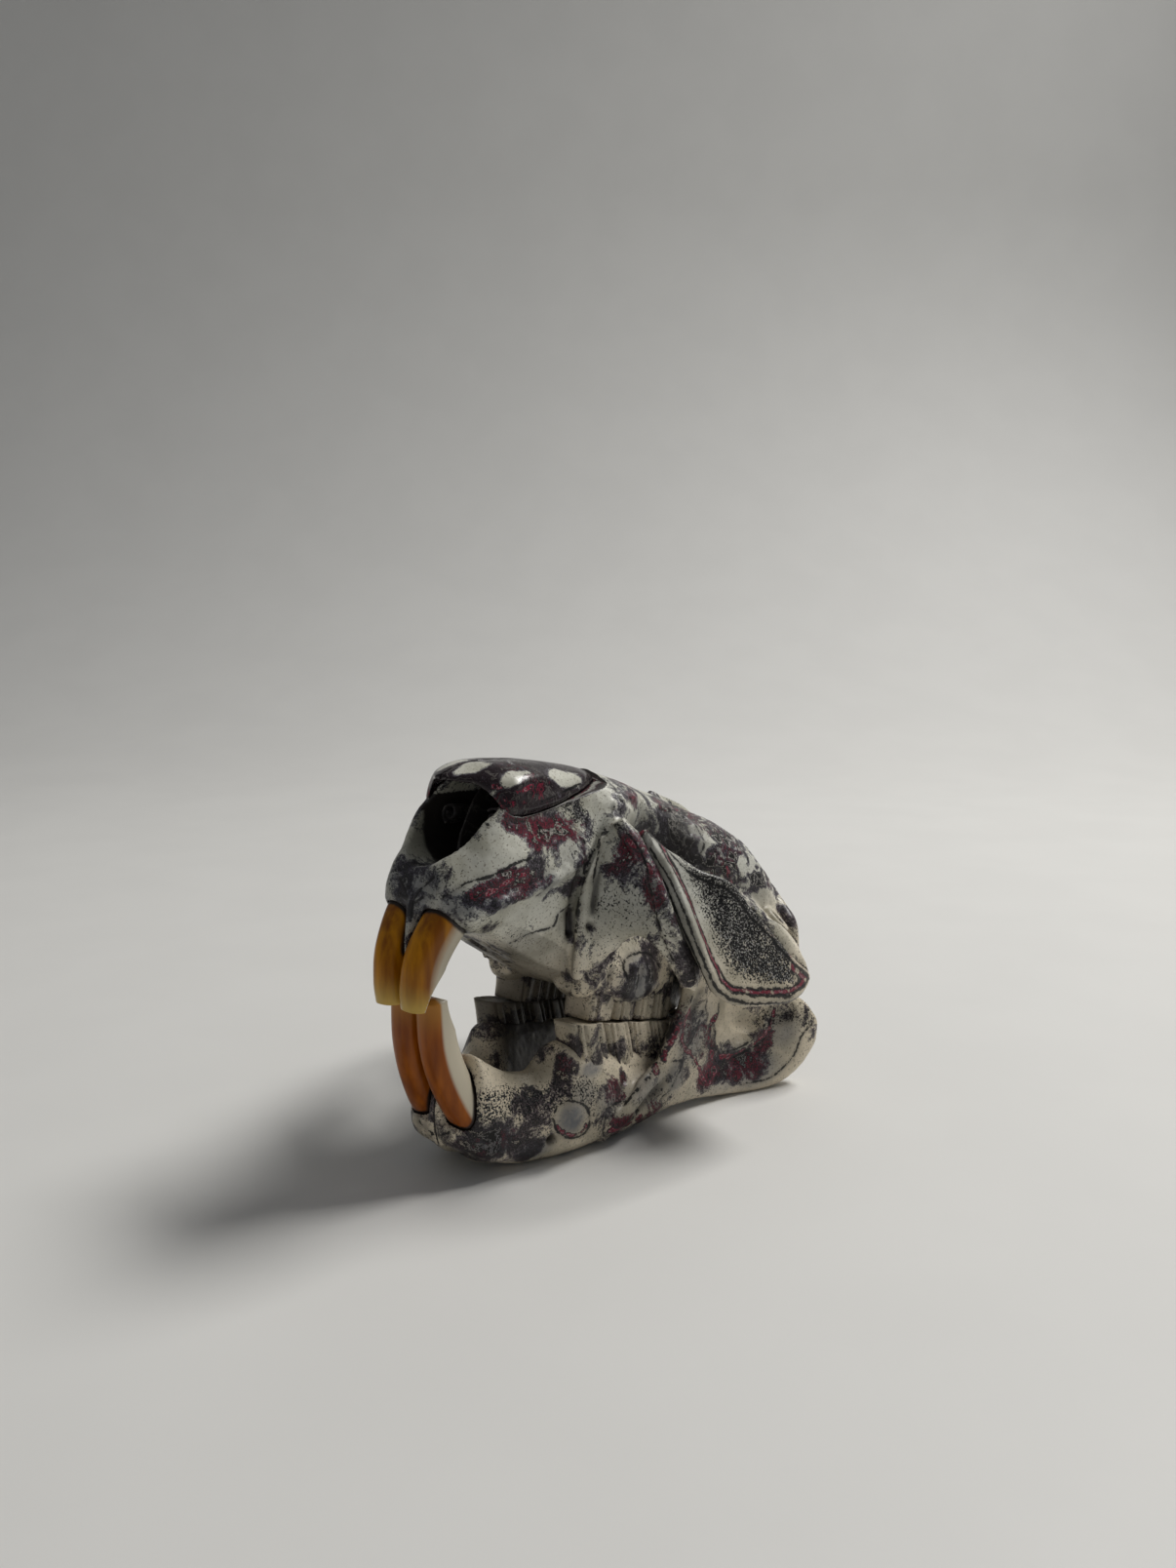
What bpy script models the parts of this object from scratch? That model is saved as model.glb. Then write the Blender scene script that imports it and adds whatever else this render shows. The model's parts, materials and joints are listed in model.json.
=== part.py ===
"""A beaver skull, life size: cranium, nasal and cheek bones, jaw halves and teeth, jaws closed.

Shapes are written in millimetres in two frames and scaled to metres when a mesh is made.
X is the animal's left and Y runs back from the front of the skull in both frames.
In the cranium's frame Z is height above the grinding surface of the cheek teeth.
In the jaw's frame Z is height above the floor.
"""
import math

import bmesh
import bpy
import numpy as np
from mathutils import Matrix, Vector

MM = 0.001
GAP = 0.3                    # clearance between pieces that touch
CRANIUM_TILT = 12.9          # degrees nose-up that the cranium leans on the jaw
TILT_FROM = (66.0, 0.0)      # Y and Z in the cranium's frame of the point that the tilt turns about
TILT_PIVOT = (64.8, 27.0)    # the same point's Y and Z in the jaw's frame
MID_LENGTH = 65.35           # Y in the jaw's frame that becomes the model's Y origin
FINE_VOXEL = 0.8             # grid of the fusing remesh
CRANIUM_TRIANGLES = 5200
MANDIBLE_TRIANGLES = 1900

BONE = (0.60, 0.56, 0.46)
ENAMEL_UPPER = (0.62, 0.34, 0.05)
ENAMEL_LOWER = (0.66, 0.24, 0.05)

# Cheek teeth from front to back: Y of the front face, length and width
UPPER_TEETH = [(50.6, 10.0, 9.4), (60.4, 8.0, 8.6), (68.2, 7.4, 8.0), (75.4, 7.0, 7.2)]
LOWER_TEETH = [(43.4, 11.8, 8.0), (55.2, 8.8, 7.8), (64.0, 8.4, 7.4), (72.4, 8.2, 6.8)]

# The body of the cranium: Y, then the left half outline (x, z) from the top of the midline by
# the roof's shoulder and the ridge low on the side to the middle of the underside
CORE = [
    (3, [(0, 31.6), (3.2, 32), (5.4, 32.4), (6.6, 31.6), (7.4, 29.6), (8, 27), (7, 25.4), (4, 24.8), (0, 24.8)]),
    (5, [(0, 33), (3.6, 33.8), (6.6, 34.6), (8.2, 33.4), (9.4, 30.4), (10.2, 26), (9.4, 22.8), (5, 21.6), (0, 21.6)]),
    (8, [(0, 36.5), (4.6, 37), (8.2, 37.4), (9.6, 36.4), (11.4, 32.4), (12.6, 26), (10.8, 21.4), (5.5, 19.6), (0, 19.6)]),
    (11, [(0, 42), (6, 42.3), (10, 42.8), (11.4, 41.4), (13, 35.4), (14, 27), (11.2, 20.6), (6, 18.8), (0, 18.8)]),
    (14, [(0, 45), (6, 45.2), (11, 45.8), (12.6, 44.6), (14, 37.5), (14.8, 27.5), (11.4, 20.4), (6, 18.6), (0, 18.6)]),
    (17, [(0, 55.4), (6.6, 54.4), (12, 50), (12.9, 45), (14.8, 37.3), (15.2, 28.2), (11, 20.2), (5.8, 18.4), (0, 18.4)]),
    (21, [(0, 57.2), (7, 56.2), (13.4, 51.6), (13, 45.7), (15.6, 37.2), (15.6, 29), (10.6, 19.8), (5.5, 18), (0, 18)]),
    (26, [(0, 58), (7, 57), (13.2, 52.6), (12.8, 46.8), (15.6, 38.4), (15.7, 31), (10.4, 18), (5.5, 15.8), (0, 16)]),
    (32, [(0, 58.6), (7, 57.5), (12.8, 53.5), (12.6, 48), (15.6, 40), (15.8, 33.6), (10.6, 16), (5.5, 13.2), (0, 13.6)]),
    (42, [(0, 59), (7, 58.3), (12.8, 55.4), (14.6, 49.5), (16, 43), (16.2, 36), (11.5, 14), (5.5, 9.6), (0, 10)]),
    (50, [(0, 59), (7, 58.5), (14, 55.4), (18, 50), (16.5, 40), (14.5, 27), (12, 12), (5.5, 7), (0, 7.5)]),
    (57, [(0, 58.5), (7, 58), (14, 55), (15.5, 49), (12, 38), (12.5, 22), (13, 9), (5.5, 6), (0, 6.5)]),
    (64, [(0, 57.8), (7, 57.2), (12.8, 54), (12, 48), (10, 37), (12, 22), (14, 8), (6, 5.5), (0, 6)]),
    (72, [(0, 57.2), (6, 56.4), (12.5, 52.5), (14, 46), (13, 36), (12, 22), (14.5, 8), (7, 5.5), (0, 6)]),
    (80, [(0, 56.8), (5, 55.8), (13.6, 51.6), (18.6, 44.6), (18.5, 35), (13.5, 22), (13.5, 9), (7.5, 6), (0, 8)]),
    (88, [(0, 56), (4.5, 54.5), (14.8, 51.6), (21.4, 44.4), (22, 33), (18, 22), (10, 15), (5, 13.5), (0, 13.5)]),
    (98, [(0, 54), (4.5, 52.3), (15.2, 50.6), (23.2, 43.0), (24.6, 31.4), (21.5, 21), (13, 14), (6, 13), (0, 13.5)]),
    (108, [(0, 50.5), (5, 49), (15.8, 47.4), (24.4, 39.8), (26.6, 29), (24.5, 19.5), (15, 13), (7, 12), (0, 12.5)]),
    (115, [(0, 46), (6, 45), (16.4, 42), (24.6, 35), (27.5, 26), (26, 18), (17, 12), (7, 11.5), (0, 11.5)]),
    (119.5, [(0, 43), (6, 42), (16, 38), (24, 31.5), (27.5, 24.5), (26, 17.5), (17, 12), (7, 11), (0, 11)]),
]

# One nasal bone: Y, then (x, z) from the midline over the top to the side edge and back below
NASAL = [
    (6.6, [(0, 52), (0.6, 52), (1.2, 51.8), (1.6, 51.6), (1.8, 51.3), (1.6, 51), (1.2, 50.9), (0.6, 50.8), (0, 50.8)]),
    (8.5, [(0, 53.3), (1.6, 53.1), (3, 52.7), (4, 52.1), (4.2, 51.4), (3.8, 50.9), (3, 51), (1.5, 51.4), (0, 51.5)]),
    (11, [(0, 54.6), (3, 54.2), (5.8, 53.2), (7, 52), (7.1, 51.2), (6.6, 50.7), (5.4, 51.2), (3, 52), (0, 52.4)]),
    (13.3, [(0, 55.6), (4.5, 55), (8.2, 53.4), (9.8, 51.4), (10, 49.6), (9.4, 48.8), (8, 50.4), (4.5, 52.2), (0, 53)]),
    (15.2, [(0, 56.1), (5.4, 55.6), (10, 53.4), (12, 50.4), (12.4, 46.8), (11.4, 46.2), (10, 49.8), (5.5, 52.6), (0, 53.4)]),
    (18, [(0, 56.8), (6.2, 56.2), (11.2, 53.8), (13.1, 50.4), (13, 45.4), (11.4, 45), (10.8, 49.8), (6, 53.2), (0, 54.1)]),
    (24, [(0, 58), (6.6, 57.3), (11.6, 55), (13.2, 51.6), (13.1, 46.8), (11, 47), (10.6, 51.2), (6, 54), (0, 55)]),
    (32, [(0, 58.9), (6.6, 58.2), (11, 56), (12.4, 53.4), (12.3, 49.4), (10.2, 49.8), (9.8, 52.6), (5.5, 55), (0, 55.8)]),
    (42, [(0, 59.3), (5, 59), (8.6, 58), (10.6, 56.6), (11, 53.8), (9.4, 53.4), (8, 54.4), (4.5, 56), (0, 56.6)]),
    (48.5, [(0, 59.3), (2.4, 59.2), (4.6, 58.9), (6.4, 58.4), (8.4, 56.8), (7.2, 56), (5.6, 56), (3, 57), (0, 57.4)])]
NASAL_CORNER = 4             # index of the lower outer corner, where a nasal bone sits on the cranium

# The left cheek bone: Y, top edge (x, z), bottom edge (x, z) and thickness
JUGAL = [
    (50, 23.5, 46, 26, 42, 4), (53, 25, 44, 31, 35, 4.5), (56, 26, 42.5, 36, 25, 4.5),
    (59, 28, 40.8, 39, 18, 4.2), (63, 31.5, 38.3, 40.8, 12, 3.8), (67, 35.5, 37.2, 42.2, 9.8, 3.5),
    (70, 37.2, 36, 43.2, 9.2, 3.3), (74, 39.2, 32, 44.6, 9, 3.2), (80, 42.7, 26.5, 46.2, 9.4, 3.3),
    (87, 45.4, 20.8, 47.2, 10.2, 3.6), (91.6, 46.3, 18.8, 47.2, 11.6, 3.5), (94.4, 46.5, 17.9, 47, 13.4, 3.0),
    (95.8, 46.6, 16.9, 46.9, 15, 2.2)]

# The left jaw half: Y, then (x, z) from the inner top over the outer side and underneath
MANDIBLE = [
    (14.4, [(1.5, 13.2), (4.4, 13.6), (6, 13), (6.6, 12.2), (5.8, 11), (4, 10.4), (1.8, 10.6), (0.9, 11.8)]),
    (16, [(0.2, 15), (5.8, 14.4), (8.4, 13.2), (9, 11.4), (7.8, 9.2), (4.8, 8.2), (1.6, 8.4), (0.2, 11)]),
    (17.8, [(0.2, 21), (6.8, 20), (9.8, 17), (10.8, 12.4), (9, 8.2), (5.4, 7), (1.6, 7.2), (0.2, 12)]),
    (19.6, [(1.5, 27), (7.5, 28.4), (10.2, 25), (11.6, 15), (10.4, 7.6), (6.4, 5.6), (1.8, 5.8), (0.2, 14)]),
    (22, [(2.6, 25.6), (7.6, 27.2), (10.4, 23.6), (12.6, 14), (11.8, 6), (7, 3.6), (2, 3.8), (0.2, 13)]),
    (26, [(3.4, 22.6), (7.8, 24.4), (10.6, 21), (13.4, 13), (12.8, 4.8), (7.6, 2), (2, 2.4), (0.2, 12)]),
    (32, [(4, 20), (8.4, 21.4), (12, 18.6), (15.4, 12.5), (14.2, 3.6), (8.4, 0), (2, 0.6), (0.2, 11)]),
    (38, [(5.6, 19.6), (11, 21.2), (14.8, 18.6), (17.6, 12.8), (16, 3), (9.4, -0.8), (2.6, 0), (0.8, 10)]),
    (42, [(7.4, 24.6), (14, 25.2), (16.8, 20.5), (19, 13.6), (17.4, 3), (10.6, -0.8), (4, 0.2), (2.4, 11)]),
    (48, [(8.2, 25), (15.4, 24.4), (17.8, 19.5), (20, 13.2), (18.8, 3), (12, -0.6), (5.5, 0.8), (4.2, 12)]),
    (56, [(9.2, 23.5), (16.2, 21.4), (18.2, 17), (20.6, 11.8), (20.4, 2.8), (14, -0.2), (8, 1.8), (6.4, 12)]),
    (66, [(9.8, 21), (17, 18.8), (18.8, 14.6), (21.4, 11), (21.8, 3.6), (16.4, 0.4), (11, 2.6), (8.2, 12)]),
    (76, [(11, 19), (17.8, 16.6), (19.8, 14.2), (22.2, 11), (23, 5), (19, 1.4), (14.4, 4), (11, 12)]),
    (86, [(15, 17), (19, 17.4), (22, 16), (23, 11.5), (24.6, 4), (21.4, 1.2), (18, 3), (15.6, 10)]),
    (96, [(20, 21), (23, 22.2), (25, 18.5), (25.4, 11.5), (27.8, 3), (24.6, 0), (21.4, 1.6), (19.4, 11)]),
    (105, [(24.5, 24.5), (27.5, 26), (30, 21), (30.4, 13), (32, 3), (29, -0.8), (25.4, 0.6), (23.6, 12)]),
    (112, [(29, 24), (32.5, 25.6), (35, 21), (36, 13), (35.4, 4), (32.4, 1), (29.4, 3), (27.8, 13)]),
    (117.5, [(32.5, 21.5), (35.4, 22.6), (37.6, 19), (38.4, 13.5), (37.4, 7.5), (34.8, 5), (32.4, 7), (31.6, 13.5)]),
    (121, [(35, 18), (36.4, 18.6), (37.8, 16.6), (38.2, 13.6), (37.8, 10.8), (36.4, 9.8), (35, 10.8), (34.4, 14)])]


def clear_scene():
    for old in list(bpy.data.objects):
        bpy.data.objects.remove(old)


def material(name, colour, roughness):
    made = bpy.data.materials.new(name)
    made.use_nodes = True
    shader = made.node_tree.nodes["Principled BSDF"]
    shader.inputs["Base Color"].default_value = (*colour, 1.0)
    shader.inputs["Roughness"].default_value = roughness
    shader.inputs["Metallic"].default_value = 0.0
    return made


def spline(points, count, closed=False):
    """count points along a smooth curve through the given ones."""
    p = np.asarray(points, float)
    if closed:
        ends = np.vstack([p[-1], p, p[0], p[1]])
        t = np.linspace(0, len(p), count, endpoint=False)
        i = t.astype(int)
    else:
        ends = np.vstack([2 * p[0] - p[1], p, 2 * p[-1] - p[-2]])
        t = np.linspace(0, len(p) - 1, count)
        i = np.minimum(t.astype(int), len(p) - 2)
    u = (t - i)[:, None]
    a, b, c, d = ends[i], ends[i + 1], ends[i + 2], ends[i + 3]
    return 0.5 * (2 * b + (c - a) * u + (2 * a - 5 * b + 4 * c - d) * u**2
                  + (3 * b - a - 3 * c + d) * u**3)


def rows(table, count):
    """Splines a table of (y, [(x, z), ...]) stations into count pairs of y and outline."""
    flat = spline([(y, *np.ravel(outline)) for y, outline in table], count)
    return [(row[0], row[1:].reshape(-1, 2)) for row in flat]


def mesh_object(name, points, faces):
    mesh = bpy.data.meshes.new(name)
    mesh.from_pydata([Vector(p) * MM for p in points], [], faces)
    edit = bmesh.new()
    edit.from_mesh(mesh)
    bmesh.ops.recalc_face_normals(edit, faces=edit.faces)
    edit.to_mesh(mesh)
    edit.free()
    obj = bpy.data.objects.new(name, mesh)
    bpy.context.scene.collection.objects.link(obj)
    return obj


def skin(name, rings):
    """A closed surface over rings of equal count, capped at both ends."""
    n = len(rings[0])
    points = [p for ring in rings for p in ring]
    faces = []
    for r in range(len(rings) - 1):
        for k in range(n):
            a, b = r * n + k, r * n + (k + 1) % n
            faces.append((a, b, b + n, a + n))
    faces.append(tuple(range(n)))
    faces.append(tuple(range((len(rings) - 1) * n, len(rings) * n)))
    return mesh_object(name, points, faces)


def oval(half_a, half_b, power, count):
    """A superellipse: power 2 is an ellipse, and higher ones are squarer."""
    t = np.linspace(0, 2 * math.pi, count, endpoint=False)
    c, s = np.cos(t), np.sin(t)
    return (np.sign(c) * np.abs(c) ** (2 / power) * half_a,
            np.sign(s) * np.abs(s) ** (2 / power) * half_b)


def half_loft(name, table, rings, count=14):
    """Sections across Y, each mirrored from its left half outline."""
    made = []
    for y, outline in rows(table, rings):
        half = spline(outline, count + 1)
        half[[0, -1], 0] = 0.0
        whole = np.vstack([half, half[-2:0:-1] * (-1, 1)])
        made.append([(x, y, z) for x, z in whole])
    return skin(name, made)


def side_loft(name, table, rings, count=26):
    """Sections across Y with closed outlines."""
    return skin(name, [[(x, y, z) for x, z in spline(outline, count, closed=True)]
                       for y, outline in rows(table, rings)])


def box_loft(name, axis, stations, power=3.0, rings=24, count=24):
    """Superellipse sections across an axis. A station is its place, then the low and high
    edge of the section along each of the two other axes, in X, Y, Z order."""
    made = []
    order = {"x": (1, 2), "y": (0, 2), "z": (0, 1)}[axis]
    along = "xyz".index(axis)
    for place, a0, a1, b0, b1 in spline(stations, rings):
        da, db = oval((a1 - a0) / 2, (b1 - b0) / 2, power, count)
        ring = np.zeros((count, 3))
        ring[:, along] = place
        ring[:, order[0]] = (a0 + a1) / 2 + da
        ring[:, order[1]] = (b0 + b1) / 2 + db
        made.append([tuple(p) for p in ring])
    return skin(name, made)


def block(name, low, high):
    """A plain box, for cutting."""
    edit = bmesh.new()
    bmesh.ops.create_cube(edit, size=1.0)
    size = [b - a for a, b in zip(low, high)]
    points = [[low[i] + (v.co[i] + 0.5) * size[i] for i in range(3)] for v in edit.verts]
    faces = [[v.index for v in f.verts] for f in edit.faces]
    edit.free()
    return mesh_object(name, points, faces)


def blade(name, stations, power=3.0, rings=22, count=18, grow=0.0):
    """A plate across Y. A station is Y, the top edge (x, z), the bottom edge (x, z), thickness."""
    made = []
    for y, tx, tz, bx, bz, thick in spline(stations, rings):
        half = math.hypot(tx - bx, tz - bz) / 2
        ux, uz = (tx - bx) / (2 * half), (tz - bz) / (2 * half)
        da, db = oval(half + grow, thick / 2 + grow, power, count)
        made.append([((tx + bx) / 2 + a * ux + b * uz, y, (tz + bz) / 2 + a * uz - b * ux)
                     for a, b in zip(da, db)])
    made[0] = [(x, y - grow, z) for x, y, z in made[0]]
    made[-1] = [(x, y + grow, z) for x, y, z in made[-1]]
    return skin(name, made)


def tube(name, path, radii, side=(1, 0, 0), power=2.0, rings=16, count=16, grow=0.0):
    """A tapering tube. radii are (across side, other way) pairs along the path."""
    centre = spline(path, rings)
    size = spline(radii, rings) + grow
    made = []
    for i, here in enumerate(centre):
        ahead = centre[min(i + 1, rings - 1)] - centre[max(i - 1, 0)]
        ahead /= np.linalg.norm(ahead)
        out = np.array(side, float) - ahead * np.dot(side, ahead)
        out /= np.linalg.norm(out)
        other = np.cross(ahead, out)
        da, db = oval(size[i][0], size[i][1], power, count)
        made.append([tuple(here + out * a + other * b) for a, b in zip(da, db)])
    return skin(name, made)


def ball(name, centre, radii, turn=0.0):
    """An ellipsoid, turned about Z by some degrees."""
    edit = bmesh.new()
    bmesh.ops.create_uvsphere(edit, u_segments=24, v_segments=14, radius=1.0)
    spin = Matrix.Rotation(math.radians(turn), 3, "Z")
    points = [spin @ Vector(v.co[i] * radii[i] for i in range(3)) + Vector(centre)
              for v in edit.verts]
    faces = [[v.index for v in f.verts] for f in edit.faces]
    edit.free()
    return mesh_object(name, points, faces)


def mirrored(obj):
    """The same piece on the animal's right side."""
    twin = obj.copy()
    twin.data = obj.data.copy()
    bpy.context.scene.collection.objects.link(twin)
    twin.data.transform(Matrix.Scale(-1, 4, (1, 0, 0)))
    twin.data.flip_normals()
    return twin


def both(*pieces):
    return [one for piece in pieces for one in (piece, mirrored(piece))]


def bake(obj):
    """Applies every modifier of obj."""
    graph = bpy.context.evaluated_depsgraph_get()
    made = bpy.data.meshes.new_from_object(obj.evaluated_get(graph))
    obj.modifiers.clear()
    obj.data = made
    return obj


def combine(obj, others, operation):
    """Joins or cuts obj with the other pieces in one Boolean, then removes them."""
    group = bpy.data.collections.new("tools")
    bpy.context.scene.collection.children.link(group)
    for other in others:
        bpy.context.scene.collection.objects.unlink(other)
        group.objects.link(other)
    change = obj.modifiers.new(operation.lower(), "BOOLEAN")
    change.operation = operation
    change.operand_type = "COLLECTION"
    change.collection = group
    change.solver = "EXACT"
    bake(obj)
    for other in list(group.objects):
        bpy.data.objects.remove(other)
    bpy.data.collections.remove(group)
    return obj


def fuse(obj, triangles, smooth=4):
    """Rounds the joints of a Boolean's result and thins it to about that many triangles."""
    grid = obj.modifiers.new("grid", "REMESH")
    grid.mode = "VOXEL"
    grid.voxel_size = FINE_VOXEL * MM
    soften = obj.modifiers.new("soften", "SMOOTH")
    soften.factor = 0.5
    soften.iterations = smooth
    bake(obj)
    obj.data.calc_loop_triangles()
    thin = obj.modifiers.new("thin", "DECIMATE")
    thin.ratio = triangles / len(obj.data.loop_triangles)
    thin.use_collapse_triangulate = True
    return keep_largest(bake(obj))


def keep_largest(obj):
    """Keeps only the largest closed surface of a mesh."""
    edit = bmesh.new()
    edit.from_mesh(obj.data)
    left = set(edit.verts)
    islands = []
    while left:
        island = {left.pop()}
        front = list(island)
        while front:
            for edge in front.pop().link_edges:
                for vert in edge.verts:
                    if vert in left:
                        left.discard(vert)
                        island.add(vert)
                        front.append(vert)
        islands.append(island)
    islands.sort(key=len)
    bmesh.ops.delete(edit, geom=[v for i in islands[:-1] for v in i], context="VERTS")
    edit.to_mesh(obj.data)
    edit.free()
    return obj


def tilt():
    """Takes the cranium's frame, in millimetres, into the jaw's."""
    turn = Matrix.Rotation(-math.radians(CRANIUM_TILT), 4, "X")
    return Matrix.Translation((0, *TILT_PIVOT)) @ turn @ Matrix.Translation((0, -TILT_FROM[0], -TILT_FROM[1]))


def zygomatic_plate():
    """The sloping plate of the upper jaw that faces forward in front of the eye socket."""
    return box_loft("plate", "x", [
        (8, 44, 55, 9, 51),
        (15, 42.5, 53, 11, 50.5),
        (20, 44.5, 53, 17.2, 47.5),
        (25, 47.5, 55, 21.8, 42.5),
        (30, 51, 58, 20, 34),
        (34, 55, 61, 14, 25),
        (37, 58.5, 62.5, 11, 18)])


def squamosal_root():
    """The hind root of the cheek arch, sloping down and out from the braincase."""
    return box_loft("root", "x", [
        (14, 84, 108, 24, 40),
        (24, 87, 106, 23, 34),
        (31, 87, 104, 20.5, 29.5),
        (38, 84, 100, 18.5, 27.5),
        (43, 85, 98, 16, 24),
        (46, 88, 96, 14.8, 20)])


def tooth(name, x, y, length, width, low, high):
    return box_loft(name, "z", [(low, x - width / 2, x + width / 2, y - length / 2, y + length / 2),
                                (high, x - width / 2, x + width / 2, y - length / 2, y + length / 2)],
                    power=4.0, rings=2, count=12)


def cheek_teeth(name, teeth, front_x, spread, low, high):
    """A row of grinding teeth. spread is how far a tooth shifts outward for each mm back."""
    front_y = teeth[0][0]
    return [tooth(name, front_x + spread * (y - front_y), y + length / 2, length - 0.5, width, low, high)
            for y, length, width in teeth]


def cranium():
    body = half_loft("cranium", CORE, 56)
    left = [
        zygomatic_plate(),
        squamosal_root(),
        box_loft("alveoli", "y", [
            (46.6, 5.5, 15, 6.5, 18), (49.4, 5.5, 16.6, 5, 22), (60, 6, 17.4, 4.8, 24),
            (70, 7, 18, 5, 22), (78, 7.5, 18, 5.5, 20), (84, 8.5, 16.4, 7, 17)]),
        tube("ridge_in", [(19.5, 46, 47.5), (24, 48.3, 42), (28.5, 51, 34), (32.5, 54, 24), (36, 60, 12.5)],
             [(1.8, 1.8), (2.2, 2.2), (2.4, 2.4), (2.6, 2.6), (2.2, 2.2)]),
        tube("ridge_masseter", [(17, 47, 48), (16.3, 43.5, 38), (16.2, 42.6, 27), (15.8, 43.8, 17), (14, 46, 10)],
             [(1.4, 1.4), (1.4, 1.4), (1.5, 1.5), (1.8, 1.8), (1.4, 1.4)]),
        tube("squamosal_strip", [(39.6, 77, 31), (41.4, 81, 28.2), (44, 86, 24), (45.6, 92, 19.5), (46, 96.5, 16)],
             [(1.2, 1.4), (1.8, 2.6), (2.0, 2.8), (2.0, 2.2), (1.4, 1.4)]),
        ball("bulla", (13.5, 103, 11.5), (8, 11.5, 9), 22),
        tube("meatus", [(17, 104, 14), (24, 107, 21), (30, 109, 28.5)], [(5.2, 5.2), (4.8, 4.8), (4, 4)]),
        tube("nuchal", [(-1, 119, 43.2), (9, 118.6, 41.2), (19, 118, 36.5), (26, 117, 30.5), (30, 116, 26),
                        (30.6, 119, 17.5)],
             [(1.8, 1.8), (1.8, 1.8), (1.9, 1.9), (2.0, 2.0), (2.2, 2.2), (1.8, 1.8)], side=(0, 1, 0)),
        tube("paroccipital", [(23, 117.5, 17), (23.5, 118.3, 9), (22.5, 117, 2)], [(5, 3.5), (3.4, 2.6), (1.6, 1.4)]),
        ball("condyle", (8.2, 120.3, 17.5), (4.4, 4.6, 7.0)),
        box_loft("pterygoid", "y", [
            (79, 6, 9.5, 4.5, 15), (84, 6.8, 9.2, 3.2, 16), (90, 7.2, 9.4, 1.0, 15), (99, 8.2, 10.2, 1.6, 13)]),
        box_loft("tuberosity", "y", [
            (81, 9.5, 17.2, 0.6, 14), (87, 8.6, 16, 0.6, 14), (94, 8.2, 12.5, 1.0, 14), (99, 8.4, 10.4, 3, 12)]),
        tube("socket", [(6.8, 20, 29), (6.8, 12.5, 27), (6.4, 8.4, 23)], [(6, 5), (6, 5.4), (5.2, 5.2)]),
    ]
    middle = [
        tube("sagittal", [(0, 84, 55.3), (0, 100, 52.9), (0, 112, 48), (0, 118.5, 43)], [(1.4, 2.2)] * 4),
        box_loft("wedge", "z", [(13, -0.5, 0.5, 3.4, 6.5), (19, -1.2, 1.2, 2.8, 7.5), (28, -3.5, 3.5, 3, 9)],
                 power=2.2, rings=8),
        box_loft("base", "y", [(92, -7, 7, 11.5, 18), (106, -8, 8, 10.8, 18), (117, -9.5, 9.5, 10.4, 18)],
                 power=2.6),
    ]
    teeth = cheek_teeth("upper_cheek_tooth", UPPER_TEETH, 11.4, 0.10, 0.2, 12)
    combine(body, both(*left, *teeth) + middle, "UNION")
    nose = half_loft("nose_hole", [
        (-2, [(0, 58), (2.5, 58), (5, 56), (6.5, 50), (6.6, 42), (5.8, 36.6), (4.4, 34), (2.2, 32.8), (0, 32.4)]),
        (5, [(0, 57), (3, 57), (6, 55), (8.2, 50), (8, 42), (6.8, 36), (4.8, 33.4), (2.4, 32.2), (0, 31.8)]),
        (11, [(0, 55), (4, 54), (8, 52), (9.8, 48), (9.8, 42), (8.4, 37), (5.6, 34), (3, 32.6), (0, 32.4)]),
        (16, [(0, 54), (4.5, 53), (8.8, 50), (10.4, 45.5), (10.4, 41), (9.2, 36.6), (6.2, 33.6), (3, 32.6), (0, 32.4)]),
        (26, [(0, 53.5), (4, 53), (8, 49.5), (9.4, 44), (9.6, 39), (8.4, 35), (6, 32), (3, 30.6), (0, 30.4)]),
        (34, [(0, 49), (2, 48.5), (5, 46), (6, 42), (6, 38), (5, 34), (3.6, 31), (2, 29.5), (0, 29)])], 22)
    cuts = [
        nose,
        ball("foramen_magnum", (0, 121, 23.5), (7, 14, 6)),
        tube("choana", [(0, 74, 12), (0, 84, 10.5), (0, 97, 8)], [(4.6, 3.8), (5.4, 4.6), (5.8, 5)]),
    ]
    cuts += both(
        ball("infraorbital", (15.6, 38.2, 22), (3.2, 2.2, 5.2), -20),
        tube("ear_hole", [(24, 106, 18), (28, 108, 25), (31.5, 110, 33)], [(2.2, 2.2)] * 3),
        ball("jaw_socket", (29.5, 94.4, 18.3), (3.6, 9, 3.2)),
        ball("incisive_slit", (2.2, 26, 13.6), (1.1, 6.5, 3.0)),
        ball("palate_groove", (3.2, 62, 4.2), (1.6, 12, 1.4)))
    combine(body, cuts, "DIFFERENCE")
    fuse(body, CRANIUM_TRIANGLES)
    seats = both(blade("jugal_seat", JUGAL, grow=GAP), upper_incisor(GAP))
    return combine(body, seats + [nasal_seat()], "DIFFERENCE")


def nasal_rings():
    return [(y, spline(outline, 2 * len(outline) - 1)) for y, outline in rows(NASAL, 18)]


def nasal():
    """The left one of the two long bones that roof the nose."""
    return skin("nasal", [[(max(x, GAP / 2), y, z) for x, z in ring] for y, ring in nasal_rings()])


def nasal_seat():
    """What the nasal bones leave of the cranium's roof: all above their lower faces."""
    reach, lift, ahead = 5.0, 12.0, 6.0
    made = []
    for y, ring in nasal_rings():
        under = ring[:2 * NASAL_CORNER - 1:-1]
        step = np.gradient(under, axis=0)
        step /= np.linalg.norm(step, axis=1, keepdims=True)
        under = under + 1.4 * GAP * step[:, ::-1] * (1, -1)
        under[0, 0] = 0.0
        corner = under[-1] + (reach, -0.1 * reach)
        half = [*under, corner, corner + (0, lift), (0, under[0][1] + lift)]
        made.append([(x, y, z) for x, z in half] + [(-x, y, z) for x, z in half[-2:0:-1]])
    made.insert(0, [(x, y - ahead, z) for x, y, z in made[0]])
    made.append([(x, y + GAP, z) for x, y, z in made[-1]])
    return skin("nasal_seat", made)


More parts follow.
